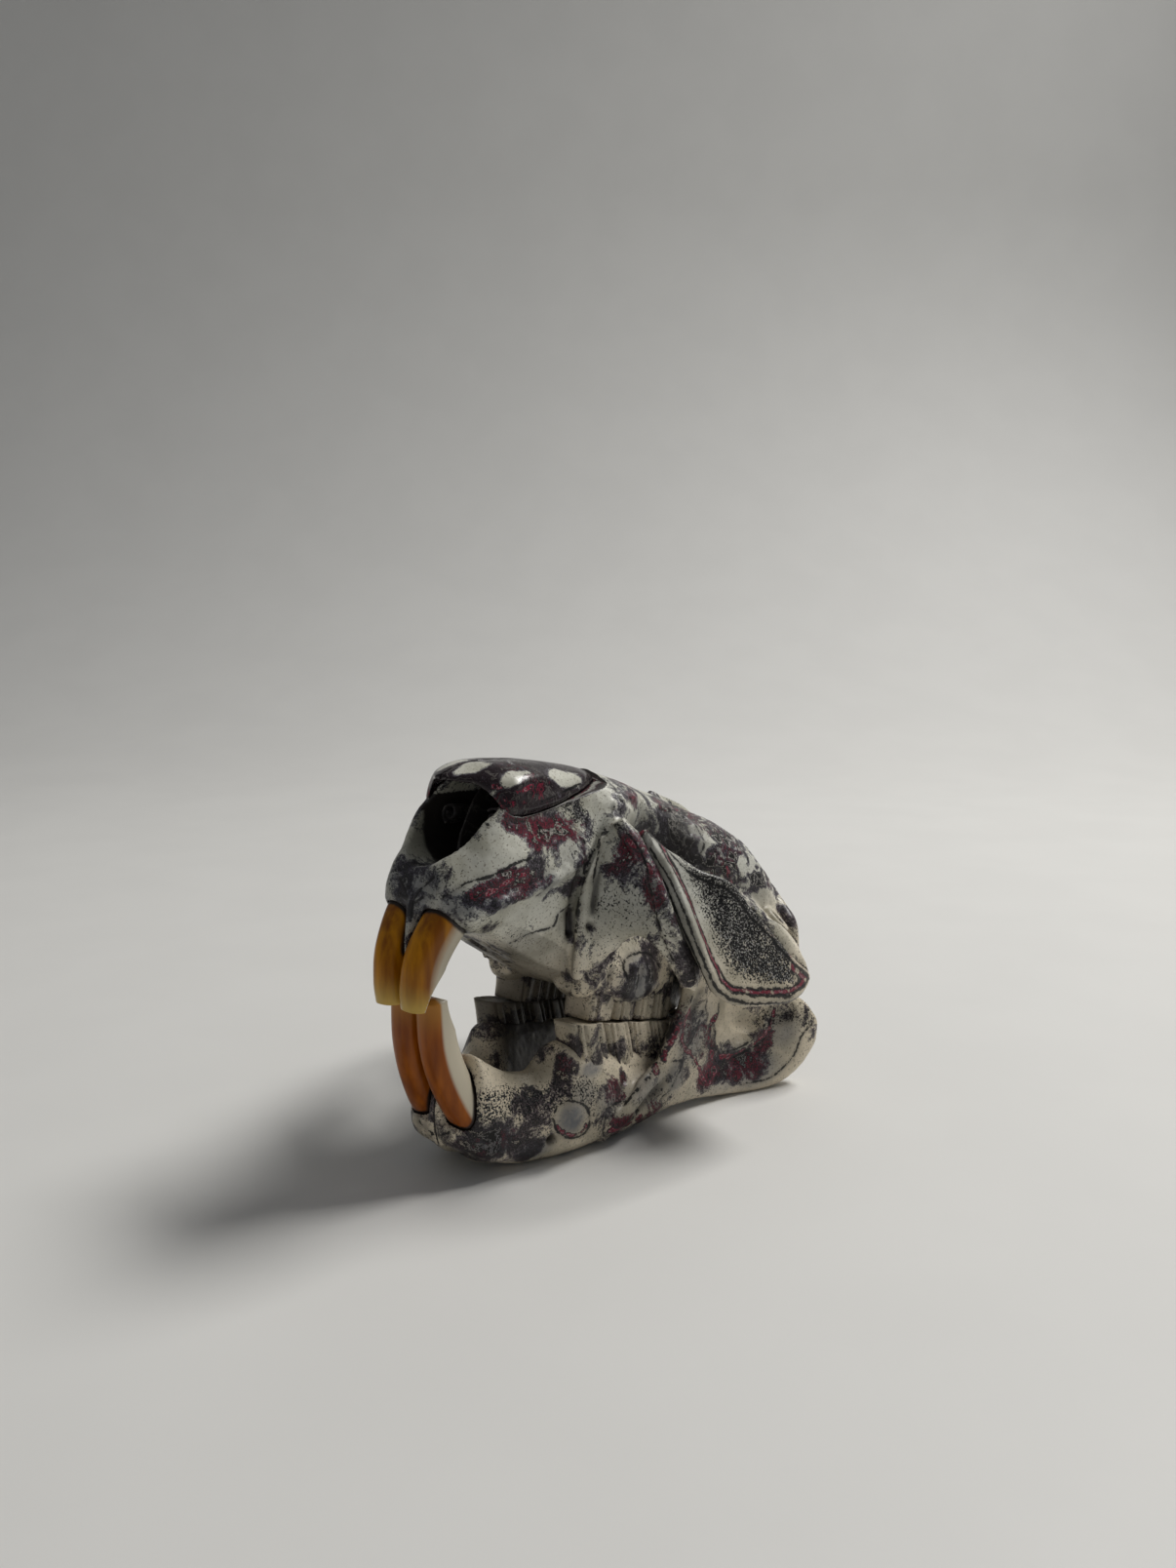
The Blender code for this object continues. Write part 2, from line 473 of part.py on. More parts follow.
def upper_incisor(grow=0.0):
    body = tube("upper_incisor", [(6.9, 18.6, 28.4), (6.6, 13.2, 26.4), (5.9, 8.8, 21.6), (4.7, 5.7, 13.5),
                                  (4.1, 5.6, 7), (3.9, 6.7, 2.5)],
                [(3.2, 3.6), (3.8, 4.6), (3.9, 4.9), (3.8, 4.8), (3.75, 4.4), (3.7, 4.0)],
                power=2.6, rings=15, count=14, grow=grow)
    if grow:
        return body
    facet = tube("facet", [(-2, 16.2, 0.9), (12, 16.2, 0.9)], [(13, 11.4)] * 2, side=(0, 0, 1),
                 rings=2, count=24)
    return combine(body, [facet], "DIFFERENCE")


def lower_incisor(grow=0.0):
    body = tube("lower_incisor", [(8.0, 34, 9.5), (7.2, 27, 10.2), (6.1, 20.2, 14.8), (4.9, 15.2, 23.5),
                                  (4.2, 12.2, 33), (3.9, 11.3, 43.6)],
                [(3.0, 3.0), (3.6, 3.9), (3.9, 4.3), (3.85, 4.3), (3.75, 4.0), (3.65, 3.4)],
                power=2.6, rings=15, count=14, grow=grow)
    if grow:
        return body
    facet = tube("facet", [(-2, 21.2, 45), (12, 21.2, 45)], [(12, 9.4)] * 2, side=(0, 0, 1), rings=2, count=24)
    return combine(body, [facet], "DIFFERENCE")


def mandible():
    body = side_loft("mandible", MANDIBLE, 56)
    ramus = [
        box_loft("ramus", "z", [
            (8, 19, 24, 66, 100), (16, 20, 24.5, 69.5, 101), (24, 21, 25, 74.5, 102), (31, 21.6, 25.4, 77, 102),
            (36, 22.3, 25.8, 78.6, 100)], rings=12),
        box_loft("coronoid", "z", [
            (30, 21.8, 25.4, 77.5, 94), (40, 22.2, 25.4, 79, 91), (50, 22.8, 25.4, 81, 88.5),
            (57.5, 23.6, 25.2, 83.4, 86.6)], rings=12),
        box_loft("condyle_neck", "z", [(28, 21.8, 26, 91, 102), (34, 24, 29, 92, 101), (38.5, 27, 32, 92.5, 100.5)],
                 rings=10),
        ball("condyle_head", (29.5, 96.5, 38.5), (3.0, 5.8, 2.6)),
        tube("masseter_crest", [(18.6, 50.5, 5), (20.4, 56.5, 6.4), (21.4, 63, 11), (22, 70.6, 14.6), (22.6, 77, 21.5),
                                (23.2, 82, 29.5), (23.6, 82.5, 40)],
             [(1.6, 3.4), (2.0, 2.6), (1.8, 2.0), (1.8, 1.8), (1.8, 1.8), (1.6, 1.6), (1.3, 1.3)]),
        box_loft("retromolar", "z", [
            (8, 14, 21, 78, 92), (15, 10, 21.5, 79, 96.5), (20, 8.4, 21.5, 79, 96), (23, 11.5, 21.5, 79, 90)],
                 rings=10),
        tube("symphysis", [(0.6, 17.5, 8), (0.7, 16.2, 15), (0.8, 17, 22)], [(1.6, 2), (1.6, 2), (0.8, 1.4)]),
    ]
    teeth = cheek_teeth("lower_cheek_tooth", LOWER_TEETH, 13.0, 0.06, 14, 34)
    combine(body, ramus + teeth, "UNION")
    bite = block("bite", (-1, 38, -0.1), (19.5, 92, 30))
    bite.data.transform(Matrix.Scale(MM, 4) @ tilt() @ Matrix.Scale(1 / MM, 4))
    cuts = [
        bite,
        ball("mental_hole", (14.8, 40.5, 4.4), (2.5, 1.2, 1.2)),
        ball("masseter_fossa", (32.5, 97, 21), (7.5, 17, 7.5), -14),
        ball("inner_fossa", (16.5, 104, 11), (5.5, 11, 6.5), -14),
    ]
    combine(body, cuts, "DIFFERENCE")
    fuse(body, MANDIBLE_TRIANGLES)
    floor = block("floor", (-10, -10, -20), (60, 140, 0))
    midline = block("midline", (-60, -15, -25), (GAP / 2, 150, 80))
    return combine(body, [floor, midline, lower_incisor(GAP)], "DIFFERENCE")


def finish(obj, name, frame, look, home):
    """Names a node, gives it its look and its frame, and moves it to the skull's collection."""
    obj.name = name
    obj.data.name = name
    obj.data.materials.clear()
    obj.data.materials.append(look)
    obj.data.shade_smooth()
    obj.parent = frame
    bpy.context.scene.collection.objects.unlink(obj)
    home.objects.link(obj)


def main():
    clear_scene()
    skull = bpy.data.collections.new("beaver_skull")
    bpy.context.scene.collection.children.link(skull)
    bone = material("bone", BONE, 0.45)
    enamel_upper = material("enamel_upper", ENAMEL_UPPER, 0.3)
    enamel_lower = material("enamel_lower", ENAMEL_LOWER, 0.3)

    jaw_frame = bpy.data.objects.new("jaw_frame", None)
    jaw_frame.location = (0, -MID_LENGTH * MM, 0)
    cranium_frame = bpy.data.objects.new("cranium_frame", None)
    cranium_frame.parent = jaw_frame
    cranium_frame.rotation_euler = (-math.radians(CRANIUM_TILT), 0, 0)
    cranium_frame.location = tilt().to_translation() * MM
    for frame in (jaw_frame, cranium_frame):
        skull.objects.link(frame)

    finish(cranium(), "cranium", cranium_frame, bone, skull)
    pairs = [
        ("nasal", nasal(), cranium_frame, bone),
        ("jugal", blade("jugal", JUGAL), cranium_frame, bone),
        ("upper_incisor", upper_incisor(), cranium_frame, enamel_upper),
        ("lower_incisor", lower_incisor(), jaw_frame, enamel_lower),
        ("mandible", mandible(), jaw_frame, bone)]
    for name, piece, frame, look in pairs:
        twin = mirrored(piece)
        finish(piece, name + "_left", frame, look, skull)
        finish(twin, name + "_right", frame, look, skull)


main()
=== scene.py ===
"""The looks of a life-size beaver skull: fine bone forms, worn enamel, mottled patina, light and camera.

Shapes are written in millimetres in two frames, as the solids are: the cranium's, with Z up from the
grinding surface of the cheek teeth, and the jaw's, with Z up from the floor.
X is the animal's left and Y runs back from the front of the skull in both.
The fine bones are built by the same steps as the solids, from the same tables, on a finer grid.
"""
import json
import math

import bmesh
import bpy
import numpy as np
from mathutils import Euler, Matrix, Vector
from mathutils.bvhtree import BVHTree

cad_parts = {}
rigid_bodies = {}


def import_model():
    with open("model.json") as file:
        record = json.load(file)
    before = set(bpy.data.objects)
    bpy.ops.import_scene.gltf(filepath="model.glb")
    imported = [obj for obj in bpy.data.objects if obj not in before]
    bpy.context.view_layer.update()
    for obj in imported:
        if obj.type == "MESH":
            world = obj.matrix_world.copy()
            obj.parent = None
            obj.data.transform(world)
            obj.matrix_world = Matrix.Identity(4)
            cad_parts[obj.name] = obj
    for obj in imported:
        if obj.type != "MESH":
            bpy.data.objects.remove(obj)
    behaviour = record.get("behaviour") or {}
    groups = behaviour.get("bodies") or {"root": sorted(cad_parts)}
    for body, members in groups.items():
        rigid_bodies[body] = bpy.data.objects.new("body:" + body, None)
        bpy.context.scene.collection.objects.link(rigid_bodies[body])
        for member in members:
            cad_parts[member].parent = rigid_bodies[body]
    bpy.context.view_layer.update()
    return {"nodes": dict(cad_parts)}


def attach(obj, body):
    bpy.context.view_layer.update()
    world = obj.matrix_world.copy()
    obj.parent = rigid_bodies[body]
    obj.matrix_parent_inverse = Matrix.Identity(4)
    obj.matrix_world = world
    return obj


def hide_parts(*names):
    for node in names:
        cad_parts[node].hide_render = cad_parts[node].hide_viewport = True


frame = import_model()

MM = 0.001
GAP = 0.3                    # clearance between pieces that touch
CRANIUM_TILT = 12.9          # degrees nose-up that the cranium leans on the jaw
TILT_FROM = (66.0, 0.0)      # Y and Z in the cranium's frame of the point that the tilt turns about
TILT_PIVOT = (64.8, 27.0)    # the same point's Y and Z in the jaw's frame
MID_LENGTH = 65.35           # Y in the jaw's frame that becomes the model's Y origin
FINE_VOXEL = 0.45            # grid of the fusing remesh
TOOTH_SLOPE = 0.2290         # fall of the lower teeth's grinding surface towards the back

# The camera, in the jaw's frame, and the size of the picture that the patina's marks are counted on
CAMERA_AT = (182.365, -158.089, 123.344)
CAMERA_TURN = (82.19, 0.0, 38.758)    # degrees about X, Y and Z
LENS, SENSOR = 27.05, 36.0
PICTURE = (1206, 1608)                # pixels across and down
SKULL_MIDDLE = (0.0, 0.0, 45.0)       # in the model's frame

SHADE_CHANNEL = 3    # the patina's last channel: painted shade, after how dark, crimson and speckled each point is

# Cheek teeth from front to back: Y of the front face, length and width
UPPER_TEETH = [(50.6, 10.0, 9.4), (60.4, 8.0, 8.6), (68.2, 7.4, 8.0), (75.4, 7.0, 7.2)]
LOWER_TEETH = [(43.4, 11.8, 8.0), (55.2, 8.8, 7.8), (64.0, 8.4, 7.4), (72.4, 8.2, 6.8)]

# The body of the cranium: Y, then the left half outline (x, z) from the top of the midline by
# the roof's shoulder and the ridge low on the side to the middle of the underside
CORE = [
    (3, [(0, 31.6), (3.2, 32), (5.4, 32.4), (6.6, 31.6), (7.4, 29.6), (8, 27), (7, 25.4), (4, 24.8),
         (0, 24.8)]),
    (5, [(0, 33), (3.6, 33.8), (6.6, 34.6), (8.2, 33.4), (9.4, 30.4), (10.2, 26), (9.4, 22.8), (5, 21.6),
         (0, 21.6)]),
    (8, [(0, 36.5), (4.6, 37), (8.2, 37.4), (9.6, 36.4), (11.4, 32.4), (12.6, 26), (10.8, 21.4),
         (5.5, 19.6), (0, 19.6)]),
    (11, [(0, 42), (6, 42.3), (10, 42.8), (11.4, 41.4), (13, 35.4), (14, 27), (11.2, 20.6), (6, 18.8),
          (0, 18.8)]),
    (14, [(0, 45), (6, 45.2), (11, 45.8), (12.6, 44.6), (14, 37.5), (14.8, 27.5), (11.4, 20.4), (6, 18.6),
          (0, 18.6)]),
    (17, [(0, 55.4), (6.6, 54.4), (12, 50), (12.9, 45), (14.8, 37.3), (15.2, 28.2), (11, 20.2),
          (5.8, 18.4), (0, 18.4)]),
    (21, [(0, 57.2), (7, 56.2), (13.4, 51.6), (13, 45.7), (15.6, 37.2), (15.6, 29), (10.6, 19.8),
          (5.5, 18), (0, 18)]),
    (26, [(0, 58), (7, 57), (13.2, 52.6), (12.8, 46.8), (15.6, 38.4), (15.7, 31), (10.4, 18), (5.5, 15.8),
          (0, 16)]),
    (32, [(0, 58.6), (7, 57.5), (12.8, 53.5), (12.6, 48), (15.6, 40), (15.8, 33.6), (10.6, 16),
          (5.5, 13.2), (0, 13.6)]),
    (42, [(0, 59), (7, 58.3), (12.8, 55.4), (14.6, 49.5), (16, 43), (16.2, 36), (11.5, 14), (5.5, 9.6),
          (0, 10)]),
    (50, [(0, 59), (7, 58.5), (14, 55.4), (18, 50), (16.5, 40), (14.5, 27), (12, 12), (5.5, 7), (0, 7.5)]),
    (57, [(0, 58.5), (7, 58), (14, 55), (15.5, 49), (12, 38), (12.5, 22), (13, 9), (5.5, 6), (0, 6.5)]),
    (64, [(0, 57.8), (7, 57.2), (12.8, 54), (12, 48), (10, 37), (12, 22), (14, 8), (6, 5.5), (0, 6)]),
    (72, [(0, 57.2), (6, 56.4), (12.5, 52.5), (14, 46), (13, 36), (12, 22), (14.5, 8), (7, 5.5), (0, 6)]),
    (80, [(0, 56.8), (5, 55.8), (13.6, 51.6), (18.6, 44.6), (18.5, 35), (13.5, 22), (13.5, 9), (7.5, 6),
          (0, 8)]),
    (88, [(0, 56), (4.5, 54.5), (14.8, 51.6), (21.4, 44.4), (22, 33), (18, 22), (10, 15), (5, 13.5),
          (0, 13.5)]),
    (98, [(0, 54), (4.5, 52.3), (15.2, 50.6), (23.2, 43.0), (24.6, 31.4), (21.5, 21), (13, 14), (6, 13),
          (0, 13.5)]),
    (108, [(0, 50.5), (5, 49), (15.8, 47.4), (24.4, 39.8), (26.6, 29), (24.5, 19.5), (15, 13), (7, 12),
           (0, 12.5)]),
    (115, [(0, 46), (6, 45), (16.4, 42), (24.6, 35), (27.5, 26), (26, 18), (17, 12), (7, 11.5), (0, 11.5)]),
    (119.5, [(0, 43), (6, 42), (16, 38), (24, 31.5), (27.5, 24.5), (26, 17.5), (17, 12), (7, 11), (0, 11)]),
]

# One nasal bone: Y, then (x, z) from the midline over the top to the side edge and back below
NASAL = [
    (6.6, [(0, 52), (0.6, 52), (1.2, 51.8), (1.6, 51.6), (1.8, 51.3), (1.6, 51), (1.2, 50.9), (0.6, 50.8),
           (0, 50.8)]),
    (8.5, [(0, 53.3), (1.6, 53.1), (3, 52.7), (4, 52.1), (4.2, 51.4), (3.8, 50.9), (3, 51), (1.5, 51.4),
           (0, 51.5)]),
    (11, [(0, 54.6), (3, 54.2), (5.8, 53.2), (7, 52), (7.1, 51.2), (6.6, 50.7), (5.4, 51.2), (3, 52),
          (0, 52.4)]),
    (13.3, [(0, 55.6), (4.5, 55), (8.2, 53.4), (9.8, 51.4), (10, 49.6), (9.4, 48.8), (8, 50.4),
            (4.5, 52.2), (0, 53)]),
    (15.2, [(0, 56.1), (5.4, 55.6), (10, 53.4), (12, 50.4), (12.4, 46.8), (11.4, 46.2), (10, 49.8),
            (5.5, 52.6), (0, 53.4)]),
    (18, [(0, 56.8), (6.2, 56.2), (11.2, 53.8), (13.1, 50.4), (13, 45.4), (11.4, 45), (10.8, 49.8),
          (6, 53.2), (0, 54.1)]),
    (24, [(0, 58), (6.6, 57.3), (11.6, 55), (13.2, 51.6), (13.1, 46.8), (11, 47), (10.6, 51.2), (6, 54),
          (0, 55)]),
    (32, [(0, 58.9), (6.6, 58.2), (11, 56), (12.4, 53.4), (12.3, 49.4), (10.2, 49.8), (9.8, 52.6),
          (5.5, 55), (0, 55.8)]),
    (42, [(0, 59.3), (5, 59), (8.6, 58), (10.6, 56.6), (11, 53.8), (9.4, 53.4), (8, 54.4), (4.5, 56),
          (0, 56.6)]),
    (48.5, [(0, 59.3), (2.4, 59.2), (4.6, 58.9), (6.4, 58.4), (8.4, 56.8), (7.2, 56), (5.6, 56), (3, 57),
            (0, 57.4)])]
NASAL_CORNER = 4             # index of the lower outer corner, where a nasal bone sits on the cranium

# The left cheek bone: Y, top edge (x, z), bottom edge (x, z) and thickness
JUGAL = [
    (50, 23.5, 46, 26, 42, 4), (53, 25, 44, 31, 35, 4.5), (56, 26, 42.5, 36, 25, 4.5),
    (59, 28, 40.8, 39, 18, 4.2), (63, 31.5, 38.3, 40.8, 12, 3.8), (67, 35.5, 37.2, 42.2, 9.8, 3.5),
    (70, 37.2, 36, 43.2, 9.2, 3.3), (74, 39.2, 32, 44.6, 9, 3.2), (80, 42.7, 26.5, 46.2, 9.4, 3.3),
    (87, 45.4, 20.8, 47.2, 10.2, 3.6), (91.6, 46.3, 18.8, 47.2, 11.6, 3.5),
    (94.4, 46.5, 17.9, 47, 13.4, 3.0), (95.8, 46.6, 16.9, 46.9, 15, 2.2)]

# The left jaw half: Y, then (x, z) from the inner top over the outer side and underneath
MANDIBLE = [
    (14.4, [(1.5, 13.2), (4.4, 13.6), (6, 13), (6.6, 12.2), (5.8, 11), (4, 10.4), (1.8, 10.6), (0.9, 11.8)]),
    (16, [(0.2, 15), (5.8, 14.4), (8.4, 13.2), (9, 11.4), (7.8, 9.2), (4.8, 8.2), (1.6, 8.4), (0.2, 11)]),
    (17.8, [(0.2, 21), (6.8, 20), (9.8, 17), (10.8, 12.4), (9, 8.2), (5.4, 7), (1.6, 7.2), (0.2, 12)]),
    (19.6, [(1.5, 27), (7.5, 28.4), (10.2, 25), (11.6, 15), (10.4, 7.6), (6.4, 5.6), (1.8, 5.8), (0.2, 14)]),
    (22, [(2.6, 25.6), (7.6, 27.2), (10.4, 23.6), (12.6, 14), (11.8, 6), (7, 3.6), (2, 3.8), (0.2, 13)]),
    (26, [(3.4, 22.6), (7.8, 24.4), (10.6, 21), (13.4, 13), (12.8, 4.8), (7.6, 2), (2, 2.4), (0.2, 12)]),
    (32, [(4, 20), (8.4, 21.4), (12, 18.6), (15.4, 12.5), (14.2, 3.6), (8.4, 0), (2, 0.6), (0.2, 11)]),
    (38, [(5.6, 19.6), (11, 21.2), (14.8, 18.6), (17.6, 12.8), (16, 3), (9.4, -0.8), (2.6, 0), (0.8, 10)]),
    (42, [(7.4, 24.6), (14, 25.2), (16.8, 20.5), (19, 13.6), (17.4, 3), (10.6, -0.8), (4, 0.2), (2.4, 11)]),
    (48, [(8.2, 25), (15.4, 24.4), (17.8, 19.5), (20, 13.2), (18.8, 3), (12, -0.6), (5.5, 0.8), (4.2, 12)]),
    (56, [(9.2, 23.5), (16.2, 21.4), (18.2, 17), (20.6, 11.8), (20.4, 2.8), (14, -0.2), (8, 1.8),
          (6.4, 12)]),
    (66, [(9.8, 21), (17, 18.8), (18.8, 14.6), (21.4, 11), (21.8, 3.6), (16.4, 0.4), (11, 2.6), (8.2, 12)]),
    (76, [(11, 19), (17.8, 16.6), (19.8, 14.2), (22.2, 11), (23, 5), (19, 1.4), (14.4, 4), (11, 12)]),
    (86, [(15, 17), (19, 17.4), (22, 16), (23, 11.5), (24.6, 4), (21.4, 1.2), (18, 3), (15.6, 10)]),
    (96, [(20, 21), (23, 22.2), (25, 18.5), (25.4, 11.5), (27.8, 3), (24.6, 0), (21.4, 1.6), (19.4, 11)]),
    (105, [(24.5, 24.5), (27.5, 26), (30, 21), (30.4, 13), (32, 3), (29, -0.8), (25.4, 0.6), (23.6, 12)]),
    (112, [(29, 24), (32.5, 25.6), (35, 21), (36, 13), (35.4, 4), (32.4, 1), (29.4, 3), (27.8, 13)]),
    (117.5, [(32.5, 21.5), (35.4, 22.6), (37.6, 19), (38.4, 13.5), (37.4, 7.5), (34.8, 5), (32.4, 7),
             (31.6, 13.5)]),
    (121, [(35, 18), (36.4, 18.6), (37.8, 16.6), (38.2, 13.6), (37.8, 10.8), (36.4, 9.8), (35, 10.8),
           (34.4, 14)])]


def spline(points, count, closed=False):
    """count points along a smooth curve through the given ones."""
    p = np.asarray(points, float)
    if closed:
        ends = np.vstack([p[-1], p, p[0], p[1]])
        t = np.linspace(0, len(p), count, endpoint=False)
        i = t.astype(int)
    else:
        ends = np.vstack([2 * p[0] - p[1], p, 2 * p[-1] - p[-2]])
        t = np.linspace(0, len(p) - 1, count)
        i = np.minimum(t.astype(int), len(p) - 2)
    u = (t - i)[:, None]
    a, b, c, d = ends[i], ends[i + 1], ends[i + 2], ends[i + 3]
    return 0.5 * (2 * b + (c - a) * u + (2 * a - 5 * b + 4 * c - d) * u**2
                  + (3 * b - a - 3 * c + d) * u**3)


def rows(table, count):
    """Splines a table of (y, [(x, z), ...]) stations into count pairs of y and outline."""
    flat = spline([(y, *np.ravel(outline)) for y, outline in table], count)
    return [(row[0], row[1:].reshape(-1, 2)) for row in flat]


def mesh_object(name, points, faces):
    mesh = bpy.data.meshes.new(name)
    mesh.from_pydata([Vector(p) * MM for p in points], [], faces)
    edit = bmesh.new()
    edit.from_mesh(mesh)
    bmesh.ops.recalc_face_normals(edit, faces=edit.faces)
    edit.to_mesh(mesh)
    edit.free()
    obj = bpy.data.objects.new(name, mesh)
    bpy.context.scene.collection.objects.link(obj)
    return obj


def skin(name, rings):
    """A closed surface over rings of equal count, capped at both ends."""
    n = len(rings[0])
    points = [p for ring in rings for p in ring]
    faces = []
    for r in range(len(rings) - 1):
        for k in range(n):
            a, b = r * n + k, r * n + (k + 1) % n
            faces.append((a, b, b + n, a + n))
    faces.append(tuple(range(n)))
    faces.append(tuple(range((len(rings) - 1) * n, len(rings) * n)))
    return mesh_object(name, points, faces)


def oval(half_a, half_b, power, count):
    """A superellipse: power 2 is an ellipse, and higher ones are squarer."""
    t = np.linspace(0, 2 * math.pi, count, endpoint=False)
    c, s = np.cos(t), np.sin(t)
    return (np.sign(c) * np.abs(c) ** (2 / power) * half_a,
            np.sign(s) * np.abs(s) ** (2 / power) * half_b)


def half_loft(name, table, rings, count=14):
    """Sections across Y, each mirrored from its left half outline."""
    made = []
    for y, outline in rows(table, rings):
        half = spline(outline, count + 1)
        half[[0, -1], 0] = 0.0
        whole = np.vstack([half, half[-2:0:-1] * (-1, 1)])
        made.append([(x, y, z) for x, z in whole])
    return skin(name, made)


def side_loft(name, table, rings, count=26):
    """Sections across Y with closed outlines."""
    return skin(name, [[(x, y, z) for x, z in spline(outline, count, closed=True)]
                       for y, outline in rows(table, rings)])


def box_loft(name, axis, stations, power=3.0, rings=24, count=24):
    """Superellipse sections across an axis. A station is its place, then the low and high
    edge of the section along each of the two other axes, in X, Y, Z order."""
    made = []
    order = {"x": (1, 2), "y": (0, 2), "z": (0, 1)}[axis]
    along = "xyz".index(axis)
    for place, a0, a1, b0, b1 in spline(stations, rings):
        da, db = oval((a1 - a0) / 2, (b1 - b0) / 2, power, count)
        ring = np.zeros((count, 3))
        ring[:, along] = place
        ring[:, order[0]] = (a0 + a1) / 2 + da
        ring[:, order[1]] = (b0 + b1) / 2 + db
        made.append([tuple(p) for p in ring])
    return skin(name, made)


def edited(name, edit, place_of):
    """An object from a unit form, with each of its points put in its place."""
    points = [place_of(v.co) for v in edit.verts]
    faces = [[v.index for v in f.verts] for f in edit.faces]
    edit.free()
    return mesh_object(name, points, faces)


def block(name, low, high):
    """A plain box, for cutting."""
    edit = bmesh.new()
    bmesh.ops.create_cube(edit, size=1.0)
    return edited(name, edit, lambda co: [a + (c + 0.5) * (b - a) for a, b, c in zip(low, high, co)])


def blade(name, stations, power=3.0, rings=22, count=18, grow=0.0):
    """A plate across Y. A station is Y, the top edge (x, z), the bottom edge (x, z), thickness."""
    made = []
    for y, tx, tz, bx, bz, thick in spline(stations, rings):
        half = math.hypot(tx - bx, tz - bz) / 2
        ux, uz = (tx - bx) / (2 * half), (tz - bz) / (2 * half)
        da, db = oval(half + grow, thick / 2 + grow, power, count)
        made.append([((tx + bx) / 2 + a * ux + b * uz, y, (tz + bz) / 2 + a * uz - b * ux)
                     for a, b in zip(da, db)])
    made[0] = [(x, y - grow, z) for x, y, z in made[0]]
    made[-1] = [(x, y + grow, z) for x, y, z in made[-1]]
    return skin(name, made)


def tube(name, path, radii, side=(1, 0, 0), power=2.0, rings=16, count=16, grow=0.0):
    """A tapering tube. radii are (across side, other way) pairs along the path."""
    centre = spline(path, rings)
    size = spline(radii, rings) + grow
    made = []
    for i, here in enumerate(centre):
        ahead = centre[min(i + 1, rings - 1)] - centre[max(i - 1, 0)]
        ahead /= np.linalg.norm(ahead)
        out = np.array(side, float) - ahead * np.dot(side, ahead)
        out /= np.linalg.norm(out)
        other = np.cross(ahead, out)
        da, db = oval(size[i][0], size[i][1], power, count)
        made.append([tuple(here + out * a + other * b) for a, b in zip(da, db)])
    return skin(name, made)


def ball(name, centre, radii, turn=0.0):
    """An ellipsoid, turned about Z by some degrees."""
    edit = bmesh.new()
    bmesh.ops.create_uvsphere(edit, u_segments=24, v_segments=14, radius=1.0)
    spin = Matrix.Rotation(math.radians(turn), 3, "Z")
    return edited(name, edit, lambda co: spin @ Vector(co[i] * radii[i] for i in range(3)) + Vector(centre))


def mirrored(obj):
    """The same piece on the animal's right side."""
    twin = obj.copy()
    twin.data = obj.data.copy()
    bpy.context.scene.collection.objects.link(twin)
    twin.data.transform(Matrix.Scale(-1, 4, (1, 0, 0)))
    twin.data.flip_normals()
    return twin


def both(*pieces):
    return [one for piece in pieces for one in (piece, mirrored(piece))]


def bake(obj):
    """Applies every modifier of obj."""
    graph = bpy.context.evaluated_depsgraph_get()
    made = bpy.data.meshes.new_from_object(obj.evaluated_get(graph))
    obj.modifiers.clear()
    obj.data = made
    return obj


def combine(obj, others, operation, solver="EXACT"):
    """Joins or cuts obj with the other pieces in one Boolean, then removes them."""
    group = bpy.data.collections.new("tools")
    bpy.context.scene.collection.children.link(group)
    for other in others:
        bpy.context.scene.collection.objects.unlink(other)
        group.objects.link(other)
    change = obj.modifiers.new(operation.lower(), "BOOLEAN")
    change.operation = operation
    change.operand_type = "COLLECTION"
    change.collection = group
    change.solver = solver
    bake(obj)
    for other in list(group.objects):
        bpy.data.objects.remove(other)
    bpy.data.collections.remove(group)
    return obj


def fuse(obj, smooth=5):
    """Rounds the joints of a Boolean's result on a fine grid."""
    grid = obj.modifiers.new("grid", "REMESH")
    grid.mode = "VOXEL"
    grid.voxel_size = FINE_VOXEL * MM
    soften = obj.modifiers.new("soften", "SMOOTH")
    soften.factor = 0.5
    soften.iterations = smooth
    return keep_largest(bake(obj))


def keep_largest(obj):
    """Keeps only the largest closed surface of a mesh."""
    edit = bmesh.new()
    edit.from_mesh(obj.data)
    left = set(edit.verts)
    islands = []
    while left:
        island = {left.pop()}
        front = list(island)
        while front:
            for edge in front.pop().link_edges:
                for vert in edge.verts:
                    if vert in left:
                        left.discard(vert)
                        island.add(vert)
                        front.append(vert)
        islands.append(island)
    islands.sort(key=len)
    bmesh.ops.delete(edit, geom=[v for i in islands[:-1] for v in i], context="VERTS")
    edit.to_mesh(obj.data)
    edit.free()
    return obj


def tilt():
    """Takes the cranium's frame, in millimetres, into the jaw's."""
    turn = Matrix.Rotation(-math.radians(CRANIUM_TILT), 4, "X")
    y, z = TILT_FROM
    return Matrix.Translation((0, *TILT_PIVOT)) @ turn @ Matrix.Translation((0, -y, -z))


def zygomatic_plate():
    """The sloping plate of the upper jaw that faces forward in front of the eye socket."""
    return box_loft("plate", "x", [
        (8, 44, 55, 9, 51),
        (15, 42.5, 53, 11, 50.5),
        (20, 44.5, 53, 17.2, 47.5),
        (25, 47.5, 55, 21.8, 42.5),
        (30, 51, 58, 20, 34),
        (34, 55, 61, 14, 25),
        (37, 58.5, 62.5, 11, 18)])


def squamosal_root():
    """The hind root of the cheek arch, sloping down and out from the braincase."""
    return box_loft("root", "x", [
        (14, 84, 108, 24, 40),
        (24, 87, 106, 23, 34),
        (31, 87, 104, 20.5, 29.5),
        (38, 84, 100, 18.5, 27.5),
        (43, 85, 98, 16, 24),
        (46, 88, 96, 14.8, 20)])


